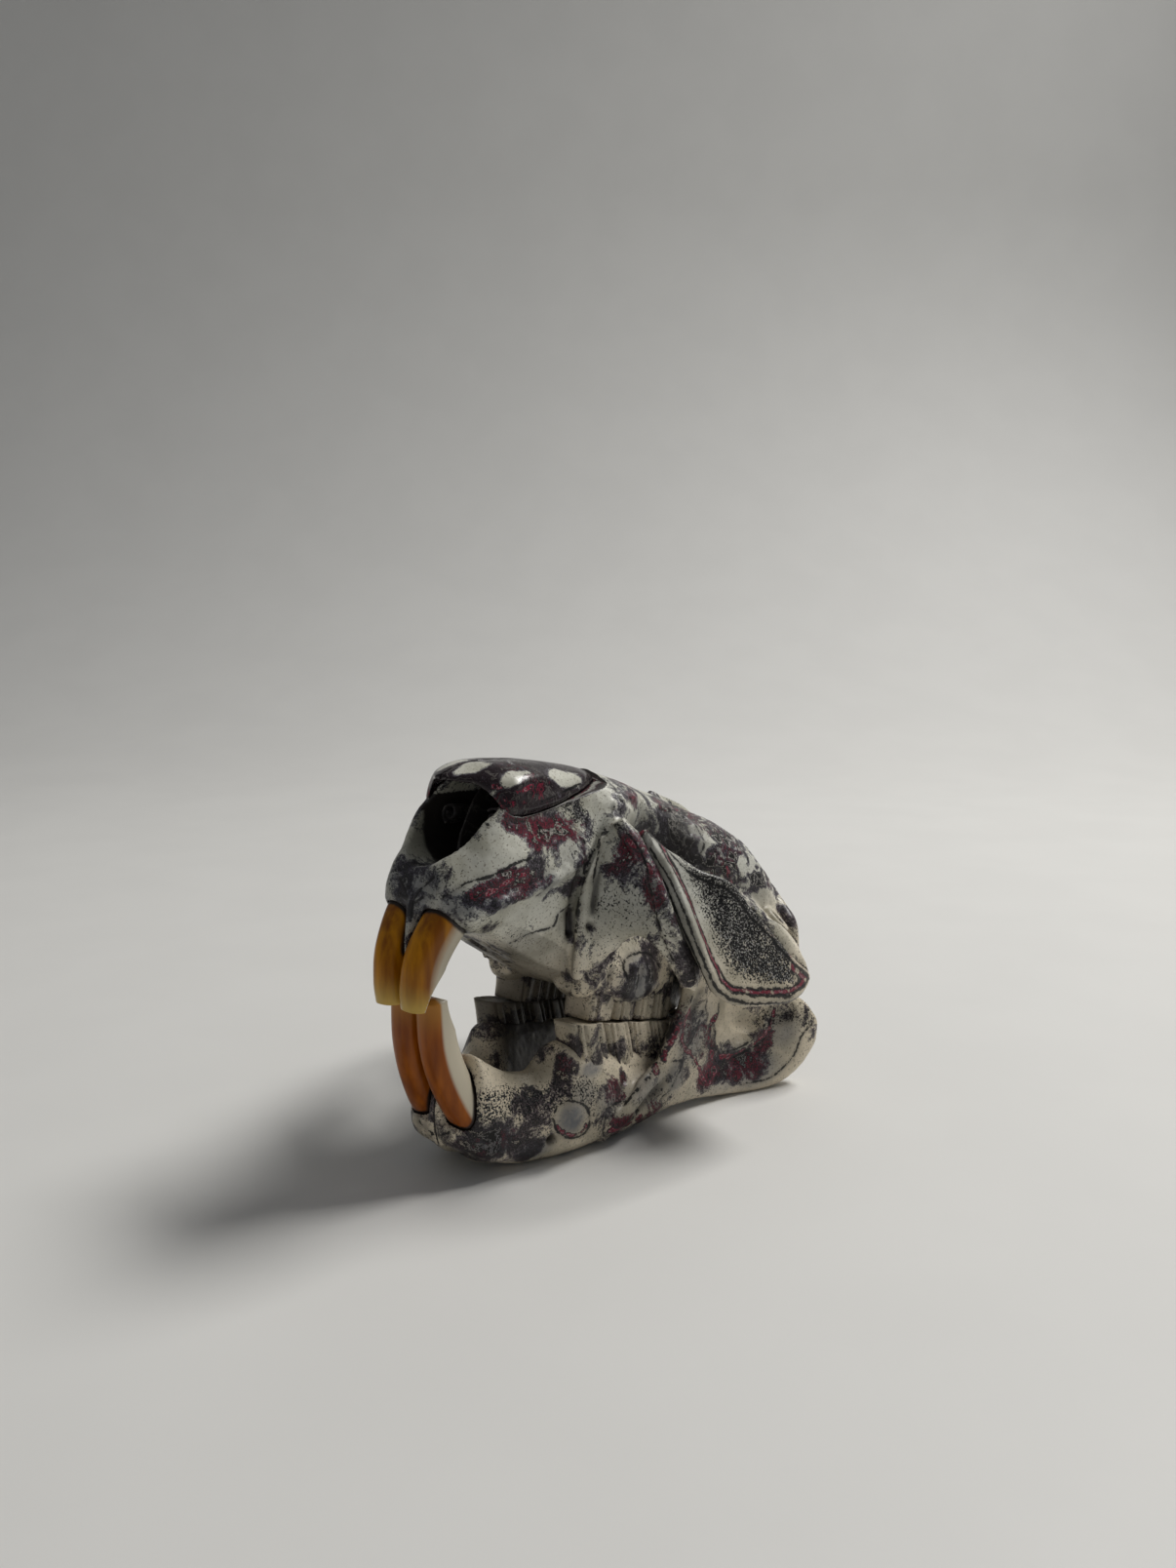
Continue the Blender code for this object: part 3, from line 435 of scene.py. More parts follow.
def cranium():
    body = half_loft("cranium", CORE, 56)
    left = [
        zygomatic_plate(),
        squamosal_root(),
        box_loft("alveoli", "y", [
            (46.6, 5.5, 15, 6.5, 18), (49.4, 5.5, 16.6, 5, 22), (60, 6, 17.4, 4.8, 24),
            (70, 7, 18, 5, 22), (78, 7.5, 18, 5.5, 20), (84, 8.5, 16.4, 7, 17)]),
        tube("ridge_in",
             [(19.5, 46, 47.5), (24, 48.3, 42), (28.5, 51, 34), (32.5, 54, 24), (36, 60, 12.5)],
             [(1.8, 1.8), (2.2, 2.2), (2.4, 2.4), (2.6, 2.6), (2.2, 2.2)]),
        tube("ridge_masseter",
             [(17, 47, 48), (16.3, 43.5, 38), (16.2, 42.6, 27), (15.8, 43.8, 17), (14, 46, 10)],
             [(1.4, 1.4), (1.4, 1.4), (1.5, 1.5), (1.8, 1.8), (1.4, 1.4)]),
        tube("squamosal_strip",
             [(39.6, 77, 31), (41.4, 81, 28.2), (44, 86, 24), (45.6, 92, 19.5), (46, 96.5, 16)],
             [(1.2, 1.4), (1.8, 2.6), (2.0, 2.8), (2.0, 2.2), (1.4, 1.4)]),
        ball("bulla", (13.5, 103, 11.5), (8, 11.5, 9), 22),
        tube("meatus", [(17, 104, 14), (24, 107, 21), (30, 109, 28.5)], [(5.2, 5.2), (4.8, 4.8), (4, 4)]),
        tube("nuchal",
             [(-1, 119, 43.2), (9, 118.6, 41.2), (19, 118, 36.5), (26, 117, 30.5), (30, 116, 26),
              (30.6, 119, 17.5)],
             [(1.8, 1.8), (1.8, 1.8), (1.9, 1.9), (2.0, 2.0), (2.2, 2.2), (1.8, 1.8)], side=(0, 1, 0)),
        tube("paroccipital", [(23, 117.5, 17), (23.5, 118.3, 9), (22.5, 117, 2)],
             [(5, 3.5), (3.4, 2.6), (1.6, 1.4)]),
        ball("condyle", (8.2, 120.3, 17.5), (4.4, 4.6, 7.0)),
        box_loft("pterygoid", "y", [
            (79, 6, 9.5, 4.5, 15), (84, 6.8, 9.2, 3.2, 16), (90, 7.2, 9.4, 1.0, 15),
            (99, 8.2, 10.2, 1.6, 13)]),
        box_loft("tuberosity", "y", [
            (81, 9.5, 17.2, 0.6, 14), (87, 8.6, 16, 0.6, 14), (94, 8.2, 12.5, 1.0, 14),
            (99, 8.4, 10.4, 3, 12)]),
        tube("socket", [(6.8, 20, 29), (6.8, 12.5, 27), (6.4, 8.4, 23)], [(6, 5), (6, 5.4), (5.2, 5.2)]),
    ]
    middle = [
        tube("sagittal", [(0, 84, 55.3), (0, 100, 52.9), (0, 112, 48), (0, 118.5, 43)], [(1.4, 2.2)] * 4),
        box_loft("wedge", "z", [(13, -0.5, 0.5, 3.4, 6.5), (19, -1.2, 1.2, 2.8, 7.5), (28, -3.5, 3.5, 3, 9)],
                 power=2.2, rings=8),
        box_loft("base", "y", [(92, -7, 7, 11.5, 18), (106, -8, 8, 10.8, 18), (117, -9.5, 9.5, 10.4, 18)],
                 power=2.6),
    ]
    combine(body, both(*left) + middle, "UNION")
    nose = half_loft("nose_hole", [
        (-2, [(0, 58), (2.5, 58), (5, 56), (6.5, 50), (6.6, 42), (5.8, 36.6), (4.4, 34), (2.2, 32.8),
              (0, 32.4)]),
        (5, [(0, 57), (3, 57), (6, 55), (8.2, 50), (8, 42), (6.8, 36), (4.8, 33.4), (2.4, 32.2), (0, 31.8)]),
        (11, [(0, 55), (4, 54), (8, 52), (9.8, 48), (9.8, 42), (8.4, 37), (5.6, 34), (3, 32.6), (0, 32.4)]),
        (16, [(0, 54), (4.5, 53), (8.8, 50), (10.4, 45.5), (10.4, 41), (9.2, 36.6), (6.2, 33.6),
              (3, 32.6), (0, 32.4)]),
        (26, [(0, 53.5), (4, 53), (8, 49.5), (9.4, 44), (9.6, 39), (8.4, 35), (6, 32), (3, 30.6),
              (0, 30.4)]),
        (34, [(0, 49), (2, 48.5), (5, 46), (6, 42), (6, 38), (5, 34), (3.6, 31), (2, 29.5), (0, 29)])], 22)
    cuts = [
        nose,
        ball("foramen_magnum", (0, 121, 23.5), (7, 14, 6)),
        tube("choana", [(0, 74, 12), (0, 84, 10.5), (0, 97, 8)], [(4.6, 3.8), (5.4, 4.6), (5.8, 5)]),
    ]
    cuts += both(
        ball("infraorbital", (15.6, 38.2, 22), (3.2, 2.2, 5.2), -20),
        tube("ear_hole", [(24, 106, 18), (28, 108, 25), (31.5, 110, 33)], [(2.2, 2.2)] * 3),
        ball("jaw_socket", (29.5, 94.4, 18.3), (3.6, 9, 3.2)),
        ball("incisive_slit", (2.2, 26, 13.6), (1.1, 6.5, 3.0)),
        ball("palate_groove", (3.2, 62, 4.2), (1.6, 12, 1.4)))
    combine(body, cuts, "DIFFERENCE")
    return fuse(body)


def nasal_seat():
    """What the nasal bones leave of the cranium's roof: all above their lower faces."""
    reach, lift, ahead = 5.0, 12.0, 6.0
    made = []
    for y, outline in rows(NASAL, 18):
        ring = spline(outline, 2 * len(outline) - 1)
        under = ring[:2 * NASAL_CORNER - 1:-1]
        step = np.gradient(under, axis=0)
        step /= np.linalg.norm(step, axis=1, keepdims=True)
        under = under + 1.4 * GAP * step[:, ::-1] * (1, -1)
        under[0, 0] = 0.0
        corner = under[-1] + (reach, -0.1 * reach)
        half = [*under, corner, corner + (0, lift), (0, under[0][1] + lift)]
        made.append([(x, y, z) for x, z in half] + [(-x, y, z) for x, z in half[-2:0:-1]])
    made.insert(0, [(x, y - ahead, z) for x, y, z in made[0]])
    made.append([(x, y + GAP, z) for x, y, z in made[-1]])
    return skin("nasal_seat", made)


# The front teeth: the middle's path from root to tip, half widths along it (across, other way), and the
# middle (y, z) and half sizes of the drum that hollows the worn face
INCISORS = {
    "upper": (
        [(6.9, 18.6, 28.4), (6.6, 13.2, 26.4), (5.9, 8.8, 21.6), (4.7, 5.7, 13.5), (4.1, 5.6, 7),
         (3.9, 6.7, 2.5)],
        [(3.2, 3.6), (3.8, 4.6), (3.9, 4.9), (3.8, 4.8), (3.75, 4.4), (3.7, 4.0)],
        (16.2, 0.9), (13, 11.4)),
    "lower": (
        [(8.0, 34, 9.5), (7.2, 27, 10.2), (6.1, 20.2, 14.8), (4.9, 15.2, 23.5), (4.2, 12.2, 33),
         (3.9, 11.3, 43.6)],
        [(3.0, 3.0), (3.6, 3.9), (3.9, 4.3), (3.85, 4.3), (3.75, 4.0), (3.65, 3.4)],
        (21.2, 45), (12, 9.4)),
}


def incisor(name, grow=0.0):
    """The left front tooth of one jaw, or the plain form of its socket, grown by the gap."""
    path, radii, (y, z), drum = INCISORS[name]
    rings, count = (40, 32) if grow else (110, 72)
    body = tube(f"{name}_incisor", path, radii, power=2.6, rings=rings, count=count, grow=grow)
    if grow:
        return body
    facet = tube("facet", [(-2, y, z), (12, y, z)], [drum] * 2, side=(0, 0, 1), rings=2, count=120)
    return combine(body, [facet], "DIFFERENCE")


def mandible():
    body = side_loft("mandible", MANDIBLE, 56)
    ramus = [
        box_loft("ramus", "z", [
            (8, 19, 24, 66, 100), (16, 20, 24.5, 69.5, 101), (24, 21, 25, 74.5, 102),
            (31, 21.6, 25.4, 77, 102), (36, 22.3, 25.8, 78.6, 100)], rings=12),
        box_loft("coronoid", "z", [
            (30, 21.8, 25.4, 77.5, 94), (40, 22.2, 25.4, 79, 91), (50, 22.8, 25.4, 81, 88.5),
            (57.5, 23.6, 25.2, 83.4, 86.6)], rings=12),
        box_loft("condyle_neck", "z", [
            (28, 21.8, 26, 91, 102), (34, 24, 29, 92, 101), (38.5, 27, 32, 92.5, 100.5)], rings=10),
        ball("condyle_head", (29.5, 96.5, 38.5), (3.0, 5.8, 2.6)),
        tube("masseter_crest",
             [(18.6, 50.5, 5), (20.4, 56.5, 6.4), (21.4, 63, 11), (22, 70.6, 14.6), (22.6, 77, 21.5),
              (23.2, 82, 29.5), (23.6, 82.5, 40)],
             [(1.6, 3.4), (2.0, 2.6), (1.8, 2.0), (1.8, 1.8), (1.8, 1.8), (1.6, 1.6), (1.3, 1.3)]),
        box_loft("retromolar", "z", [
            (8, 14, 21, 78, 92), (15, 10, 21.5, 79, 96.5), (20, 8.4, 21.5, 79, 96),
            (23, 11.5, 21.5, 79, 90)], rings=10),
        tube("symphysis", [(0.6, 17.5, 8), (0.7, 16.2, 15), (0.8, 17, 22)],
             [(1.6, 2), (1.6, 2), (0.8, 1.4)]),
    ]
    combine(body, ramus, "UNION")
    bite = block("bite", (-1, 38, -0.1), (19.5, 92, 30))
    bite.data.transform(Matrix.Scale(MM, 4) @ tilt() @ Matrix.Scale(1 / MM, 4))
    cuts = [
        bite,
        ball("mental_hole", (14.8, 40.5, 4.4), (2.5, 1.2, 1.2)),
        ball("masseter_fossa", (32.5, 97, 21), (7.5, 17, 7.5), -14),
        ball("inner_fossa", (16.5, 104, 11), (5.5, 11, 6.5), -14),
    ]
    combine(body, cuts, "DIFFERENCE")
    return fuse(body)


# Points of a mesh, in millimetres, and what is worked out from them

def coords(obj):
    flat = np.empty(len(obj.data.vertices) * 3, np.float32)
    obj.data.vertices.foreach_get("co", flat)
    return flat.reshape(-1, 3).astype(float) / MM


def set_coords(obj, points):
    obj.data.vertices.foreach_set("co", (points * MM).astype(np.float32).ravel())
    obj.data.update()


def normals(obj):
    flat = np.empty(len(obj.data.vertices) * 3, np.float32)
    obj.data.vertex_normals.foreach_get("vector", flat)
    return flat.reshape(-1, 3).astype(float)


def outward(obj):
    """How far the surface faces away from the midline, from -1 to 1."""
    return normals(obj)[:, 0] * np.sign(coords(obj)[:, 0])


def push(obj, moves):
    """Moves each point along its normal."""
    set_coords(obj, coords(obj) + normals(obj) * moves[:, None])


def folded(points):
    """Both sides of the skull as the left one."""
    q = points.copy()
    q[:, 0] = np.abs(q[:, 0])
    return q


def ease(values, start, reach):
    """Rises from 0 at start to 1 at start + reach. A negative reach counts downwards."""
    return np.clip((values - start) / reach, 0, 1)


def near(points, path):
    """Distance of each point to a polyline, and how far along it, from 0 to 1, the nearest place is."""
    path = np.asarray(path, float)
    best = np.full(len(points), np.inf)
    along = np.zeros(len(points))
    lengths = np.linalg.norm(np.diff(path, axis=0), axis=1)
    total, run = lengths.sum(), 0.0
    for a, b, length in zip(path[:-1], path[1:], lengths):
        d = b - a
        t = np.clip(((points - a) @ d) / (d @ d), 0, 1)
        gap = np.linalg.norm(points - a - t[:, None] * d, axis=1)
        closer = gap < best
        best[closer] = gap[closer]
        along[closer] = (run + t[closer] * length) / total
        run += length
    return best, along


def close_to(points, path, reach):
    """Which points lie in a path's box, grown by reach."""
    low, high = np.min(path, axis=0) - reach, np.max(path, axis=0) + reach
    return np.where(np.all((points > low) & (points < high), axis=1))[0]


def noise3(points, size, seed):
    """Smooth noise between about -1 and 1, with features of that size in millimetres."""
    n = 32
    values = np.random.default_rng(seed).uniform(-1, 1, (n, n, n))
    p = points / size
    i = np.floor(p).astype(int)
    f = p - i
    f = f * f * (3 - 2 * f)
    total = np.zeros(len(points))
    for corner in np.ndindex(2, 2, 2):
        x, y, z = (f[:, k] if far else 1 - f[:, k] for k, far in enumerate(corner))
        total += x * y * z * values[tuple(((i + corner) % n).T)]
    return total


def rough(points, size, seed, octaves=3):
    return sum(noise3(points, size / 2**k, seed + k) / 2**k for k in range(octaves))


def raise_lines(points, moves, lines):
    """Adds ridges and grooves along polylines to moves. A line is a path, half-width, height and
    how far it wavers."""
    for path, width, height, waver in lines:
        inside = close_to(points, path, 4 * width + waver)
        if not len(inside):
            continue
        p = points[inside]
        if waver:
            p = p + waver * np.column_stack([rough(p + 7.7 * k, 2.2, 40 + k, 2) for k in range(3)])
        gap, along = near(p, path)
        taper = np.clip(np.minimum(along, 1 - along) * 12, 0, 1)
        moves[inside] += height * taper * np.exp(-(gap / width) ** 2)


def sphere(points, centre, radii):
    """1 at the centre of an ellipsoid, fading to 0 at its surface and beyond."""
    t = np.clip(1.35 - np.linalg.norm((points - centre) / radii, axis=1), 0, 1)
    return t * t * (3 - 2 * t)


def bump(points, centre, width, power=2):
    """1 at a place, fading over a width."""
    return np.exp(-(np.linalg.norm(points - centre, axis=1) / width) ** power)


# Four numbers kept for each point, which the materials read

def write_layer(obj, name, values):
    layer = obj.data.attributes.get(name) or obj.data.attributes.new(name, "FLOAT_COLOR", "POINT")
    layer.data.foreach_set("color", values.astype(np.float32).ravel())


def paint(obj, points, spots, base):
    """Stores the patina from soft ellipsoidal spots over base levels. A spot is a centre, radii, and
    its levels of dark, crimson, speckle and painted shade, where None keeps what is there."""
    values = np.tile(np.array(base, float), (len(points), 1))
    for centre, radii, levels in spots:
        weight = sphere(points, centre, radii)
        for channel, level in enumerate(levels):
            if level is not None:
                values[:, channel] += (level - values[:, channel]) * weight
    write_layer(obj, "patina", values)


def stain(obj, amount):
    """Raises the painted shade of each point to at least that amount."""
    values = np.empty(len(obj.data.vertices) * 4, np.float32)
    obj.data.attributes["patina"].data.foreach_get("color", values)
    values[SHADE_CHANNEL::4] = np.maximum(values[SHADE_CHANNEL::4], amount)
    write_layer(obj, "patina", values)


def stain_walls(obj, q, depth, behind=22, below=26, above=-99):
    """Paints shade on the sides of a piece that face the middle of the mouth, and on faces near the midline
    that look down.
    """
    roof = -1.4 * normals(obj)[:, 2] * (q[:, 0] < 12)
    facing = np.clip(np.maximum(-1.7 * outward(obj), roof), 0, 1)
    stain(obj, depth * facing * ease(q[:, 2], below, -5) * ease(q[:, 1], behind, 6) * (q[:, 2] > above))


def stain_inner(obj, least):
    """Gives every side of a piece but its outer one at least that much painted shade."""
    stain(obj, least * np.clip(1.2 - 1.6 * outward(obj), 0, 1))


# Painted shade along grooves, darker where they are deeper.
def stain_grooves(obj, q, grooves, strength=1.0):
    for path, width, height, _ in grooves:
        stain(obj, -strength * height * np.exp(-(near(q, path)[0] / (0.4 + width)) ** 2))


def store_lines(obj, dark, red, film, busy=0.0):
    """Stores how far each point is from the thin dark and crimson lines, its grey film, and how close
    together its contours run."""
    gaps = [np.minimum(gap, LINE_REACH) / LINE_REACH for gap in (dark, red)]
    write_layer(obj, "lines", np.column_stack([*gaps, film, np.broadcast_to(busy, film.shape)]))


def place(obj, matrix):
    """Takes a mesh from one of the two frames, in millimetres, to the model's frame."""
    obj.data.transform(Matrix.Scale(MM, 4) @ matrix @ Matrix.Scale(1 / MM, 4))
    obj.data.update()


JAW = Matrix.Translation((0, -MID_LENGTH, 0))    # takes the jaw's frame to the model's
HEAD = JAW @ tilt()                              # takes the cranium's frame to the model's


def settle(obj, name, look, nodes, matrix):
    """Names and places a finished piece, and says what it rides on and replaces."""
    obj.name = name
    obj.data.name = name
    obj.data.materials.clear()
    obj.data.materials.append(look)
    obj.data.shade_smooth()
    place(obj, matrix)
    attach(obj, "root")
    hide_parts(*nodes)


def settle_pair(piece, name, look, node_name, matrix, inner_shade=0.0):
    """Settles a left piece and its mirrored twin. The side goes where a name has braces."""
    twin = mirrored(piece)
    # painted shade on every side but the outer one of the right twin, on the far side of the mouth
    if inner_shade:
        stain_inner(twin, inner_shade)
    for one, side in ((piece, "left"), (twin, "right")):
        settle(one, name.format(side), look, [node_name.format(side)], matrix)


def search_tree(objects):
    """A tree over placed meshes, in millimetres of the model's frame."""
    points, faces = [], []
    for obj in objects:
        start = len(points)
        points += [v.co / MM for v in obj.data.vertices]
        faces += [[start + k for k in f.vertices] for f in obj.data.polygons]
    return BVHTree.FromPolygons(points, faces)


def marked_places(nodes, matrix):
    """Gives a function that turns a mark, counted in pixels on the picture, into the place on those
    solids where the camera sees it, in the frame that matrix takes to the model's. A mark that falls
    just beside them goes to their nearest place."""
    tree = search_tree([frame["nodes"][name] for name in nodes])
    eye = JAW @ Vector(CAMERA_AT)
    turn = Euler([math.radians(angle) for angle in CAMERA_TURN]).to_matrix()
    focus = LENS / SENSOR * PICTURE[1]

    def place_of(across, down):
        ray = (turn @ Vector((across - PICTURE[0] / 2, PICTURE[1] / 2 - down, -focus))).normalized()
        seen = tree.ray_cast(eye, ray)[0]
        if seen is None:
            seen = tree.find_nearest(eye + ray * ray.dot(Vector(SKULL_MIDDLE) - eye))[0]
        x, y, z = matrix.inverted() @ seen
        return abs(x), y, z

    return place_of


def patinate(obj, points, bone, base, hidden=(), busy=0.0):
    """Stores a bone's patina and its thin lines from the marks on the picture, and from spots on what
    the picture hides."""
    nodes, matrix, spots, *lines, films = MARKS[bone]
    place_of = marked_places(nodes, matrix)
    seen = [(place_of(*mark), radii, levels) for mark, radii, levels in spots]
    paint(obj, points, [*hidden, *seen], base)
    gaps = []
    for paths in lines:
        best = np.full(len(points), float(LINE_REACH))
        for marks in paths:
            path = [place_of(*mark) for mark in marks]
            inside = close_to(points, path, LINE_REACH)
            gap, _ = near(points[inside], spline(path, 4 * len(path)))
            best[inside] = np.minimum(best[inside], gap)
        gaps.append(best)
    film = np.zeros(len(points))
    for mark, radii, level in films:
        film = np.maximum(film, level * sphere(points, place_of(*mark), radii))
    store_lines(obj, *gaps, film, busy)


# Materials

def feed(tree, to, inputs):
    """Links a node's inputs to values and sockets, or sets them to plain numbers."""
    for key, value in inputs.items():
        value = getattr(value, "socket", value)
        if isinstance(value, bpy.types.NodeSocket):
            tree.links.new(value, to.inputs[key])
        else:
            to.inputs[key].default_value = value


def node(tree, kind, inputs=None, **settings):
    made = tree.nodes.new(kind)
    for key, value in settings.items():
        setattr(made, key, value)
    feed(tree, made, inputs or {})
    return made


class Value:
    """What a node tree works out at each point, so that a look can be written as plain sums."""

    def __init__(self, tree, socket):
        self.tree, self.socket = tree, socket

    def maths(self, operation, first, second=0.0):
        made = node(self.tree, "ShaderNodeMath", {0: first, 1: second}, operation=operation)
        return Value(self.tree, made.outputs[0])

    def __add__(self, other):
        return self.maths("ADD", self, other)

    def __radd__(self, other):
        return self.maths("ADD", other, self)

    def __sub__(self, other):
        return self.maths("SUBTRACT", self, other)

    def __rsub__(self, other):
        return self.maths("SUBTRACT", other, self)

    def __mul__(self, other):
        return self.maths("MULTIPLY", self, other)

    def __abs__(self):
        return self.maths("ABSOLUTE", self)

    def at_least(self, other):
        return self.maths("MAXIMUM", self, other)

    def step(self, low, high):
        """Rises smoothly from 0 at low to 1 at high."""
        made = node(self.tree, "ShaderNodeMapRange", {0: self, 1: low, 2: high, 3: 0.0, 4: 1.0},
                    interpolation_type="SMOOTHSTEP")
        return Value(self.tree, made.outputs[0])


class Look:
    """One material, and the values and colours that its tree is put together from."""

    def __init__(self, name, shift=(0.0, 0.0, 0.0)):
        self.material = bpy.data.materials.new(name)
        self.material.use_nodes = True
        self.tree = self.material.node_tree
        self.place = node(self.tree, "ShaderNodeTexCoord").outputs["Object"]
        self.mm = node(self.tree, "ShaderNodeMapping", {
            "Vector": self.place, "Scale": (1 / MM,) * 3, "Location": shift}).outputs[0]

    def layer(self, name):
        """The four numbers that a mesh keeps for each point under that name."""
        read = node(self.tree, "ShaderNodeAttribute", attribute_name=name, attribute_type="GEOMETRY")
        split = node(self.tree, "ShaderNodeSeparateColor", {0: read.outputs["Color"]})
        return [Value(self.tree, socket) for socket in (*split.outputs, read.outputs["Alpha"])]

    def noise(self, size, detail, roughness=0.55, distortion=0.0, at=None):
        """3-D noise with features of about that size in millimetres."""
        made = node(self.tree, "ShaderNodeTexNoise", {
            "Vector": self.mm if at is None else at, "Scale": 1 / size, "Detail": detail,
            "Roughness": roughness, "Distortion": distortion})
        return Value(self.tree, made.outputs[0])

    def mix(self, factor, a, b, blend="MIX"):
        a, b = ((*colour, 1.0) if isinstance(colour, tuple) else colour for colour in (a, b))
        made = node(self.tree, "ShaderNodeMix", {0: factor, 6: a, 7: b}, data_type="RGBA", blend_type=blend)
        return Value(self.tree, made.outputs[2])

    def ramp(self, value, stops):
        """A colour for each value, from (value, colour) stops."""
        made = node(self.tree, "ShaderNodeValToRGB", {"Fac": value})
        elements = made.color_ramp.elements
        while len(elements) < len(stops):
            elements.new(0.5)
        for element, (position, colour) in zip(elements, stops):
            element.position = position
            element.color = (*colour, 1.0)
        return Value(self.tree, made.outputs["Color"])

    def relief(self, height, strength, depth):
        """A bumpy surface of that depth in millimetres."""
        return node(self.tree, "ShaderNodeBump", {
            "Height": height, "Strength": strength, "Distance": depth * MM}).outputs[0]

    def finish(self, inputs):
        """Gives the surface its inputs."""
        feed(self.tree, self.tree.nodes["Principled BSDF"], inputs)
        return self.material


CREAM, OLIVE = (0.74, 0.65, 0.50), (0.46, 0.41, 0.31)       # the bone's light and dark tones near the table
PALE, ASH = (0.66, 0.655, 0.58), (0.43, 0.42, 0.345)        # the same tones high up
FADE_FROM, FADE_TO = 0.034, 0.062                           # metres above the table between which they change
TAN = (0.17, 0.14, 0.10)                                    # pores
FILM = (0.17, 0.175, 0.185)
CRIMSON = (0.20, 0.010, 0.032)
BLACK = (0.006, 0.006, 0.007)
DEEP = (0.013, 0.006, 0.009)                                # the nasal bones between their light eyes
BRIM = (0.03, 0.025, 0.03)                                  # round the crimson veins
SALT = (0.36, 0.35, 0.33)
RED_EDGE, RED_SPARK = (0.04, 0.033, 0.037), (0.34, 0.22, 0.23)
SHADE = (0.07, 0.062, 0.06)                                 # beside the thin dark lines
# the tone of the painted shade in the mouth, the nose, pits, seams and round the sockets
PAINTED_SHADE = (0.03, 0.026, 0.024)
IVORY, SOCKET = (0.58, 0.52, 0.40), (0.018, 0.012, 0.010)   # a front tooth's flanks, and the painted shadow line where it leaves its socket
UPPER_ENAMEL = [(0.22, 0.066, 0.001), (0.58, 0.235, 0.002), (0.60, 0.40, 0.09)]    # deep, light, worn
LOWER_ENAMEL = [(0.22, 0.05, 0.002), (0.42, 0.115, 0.006), (0.46, 0.20, 0.035)]
LINE_REACH = 4.0                                            # mm from a thin line that are kept

# The patina's tones as a patch gets darker towards its middle: thin lines ring every step
CONTOURS = [
    (0.0, (1, 1, 1)), (0.464, (1, 1, 1)), (0.468, (0.05, 0.046, 0.05)), (0.480, (0.07, 0.066, 0.075)),
    (0.484, (0.74, 0.74, 0.80)), (0.503, (0.50, 0.50, 0.58)), (0.507, (0.025, 0.024, 0.03)),
    (0.520, (0.035, 0.033, 0.042)), (0.524, (0.22, 0.195, 0.27)), (0.545, (0.17, 0.15, 0.215)),
    (0.549, (0.018, 0.016, 0.02)), (0.580, (0.03, 0.028, 0.035)), (0.584, (0.16, 0.15, 0.20)),
    (0.600, (0.12, 0.112, 0.155)), (0.604, (0.012, 0.011, 0.013)), (0.640, (0.016, 0.015, 0.018)),
    (0.645, (0.85, 0.83, 0.86)), (0.664, (0.62, 0.60, 0.64)), (0.669, (0.010, 0.009, 0.010)),
    (1.0, (0.010, 0.009, 0.010))]
CRIMSON_LINES = [(at, (on,) * 3) for at, on in (
    (0.0, 0), (0.514, 0), (0.520, 1), (0.529, 1), (0.535, 0), (0.575, 0), (0.582, 1), (0.594, 1), (0.600, 0),
    (1.0, 0))]


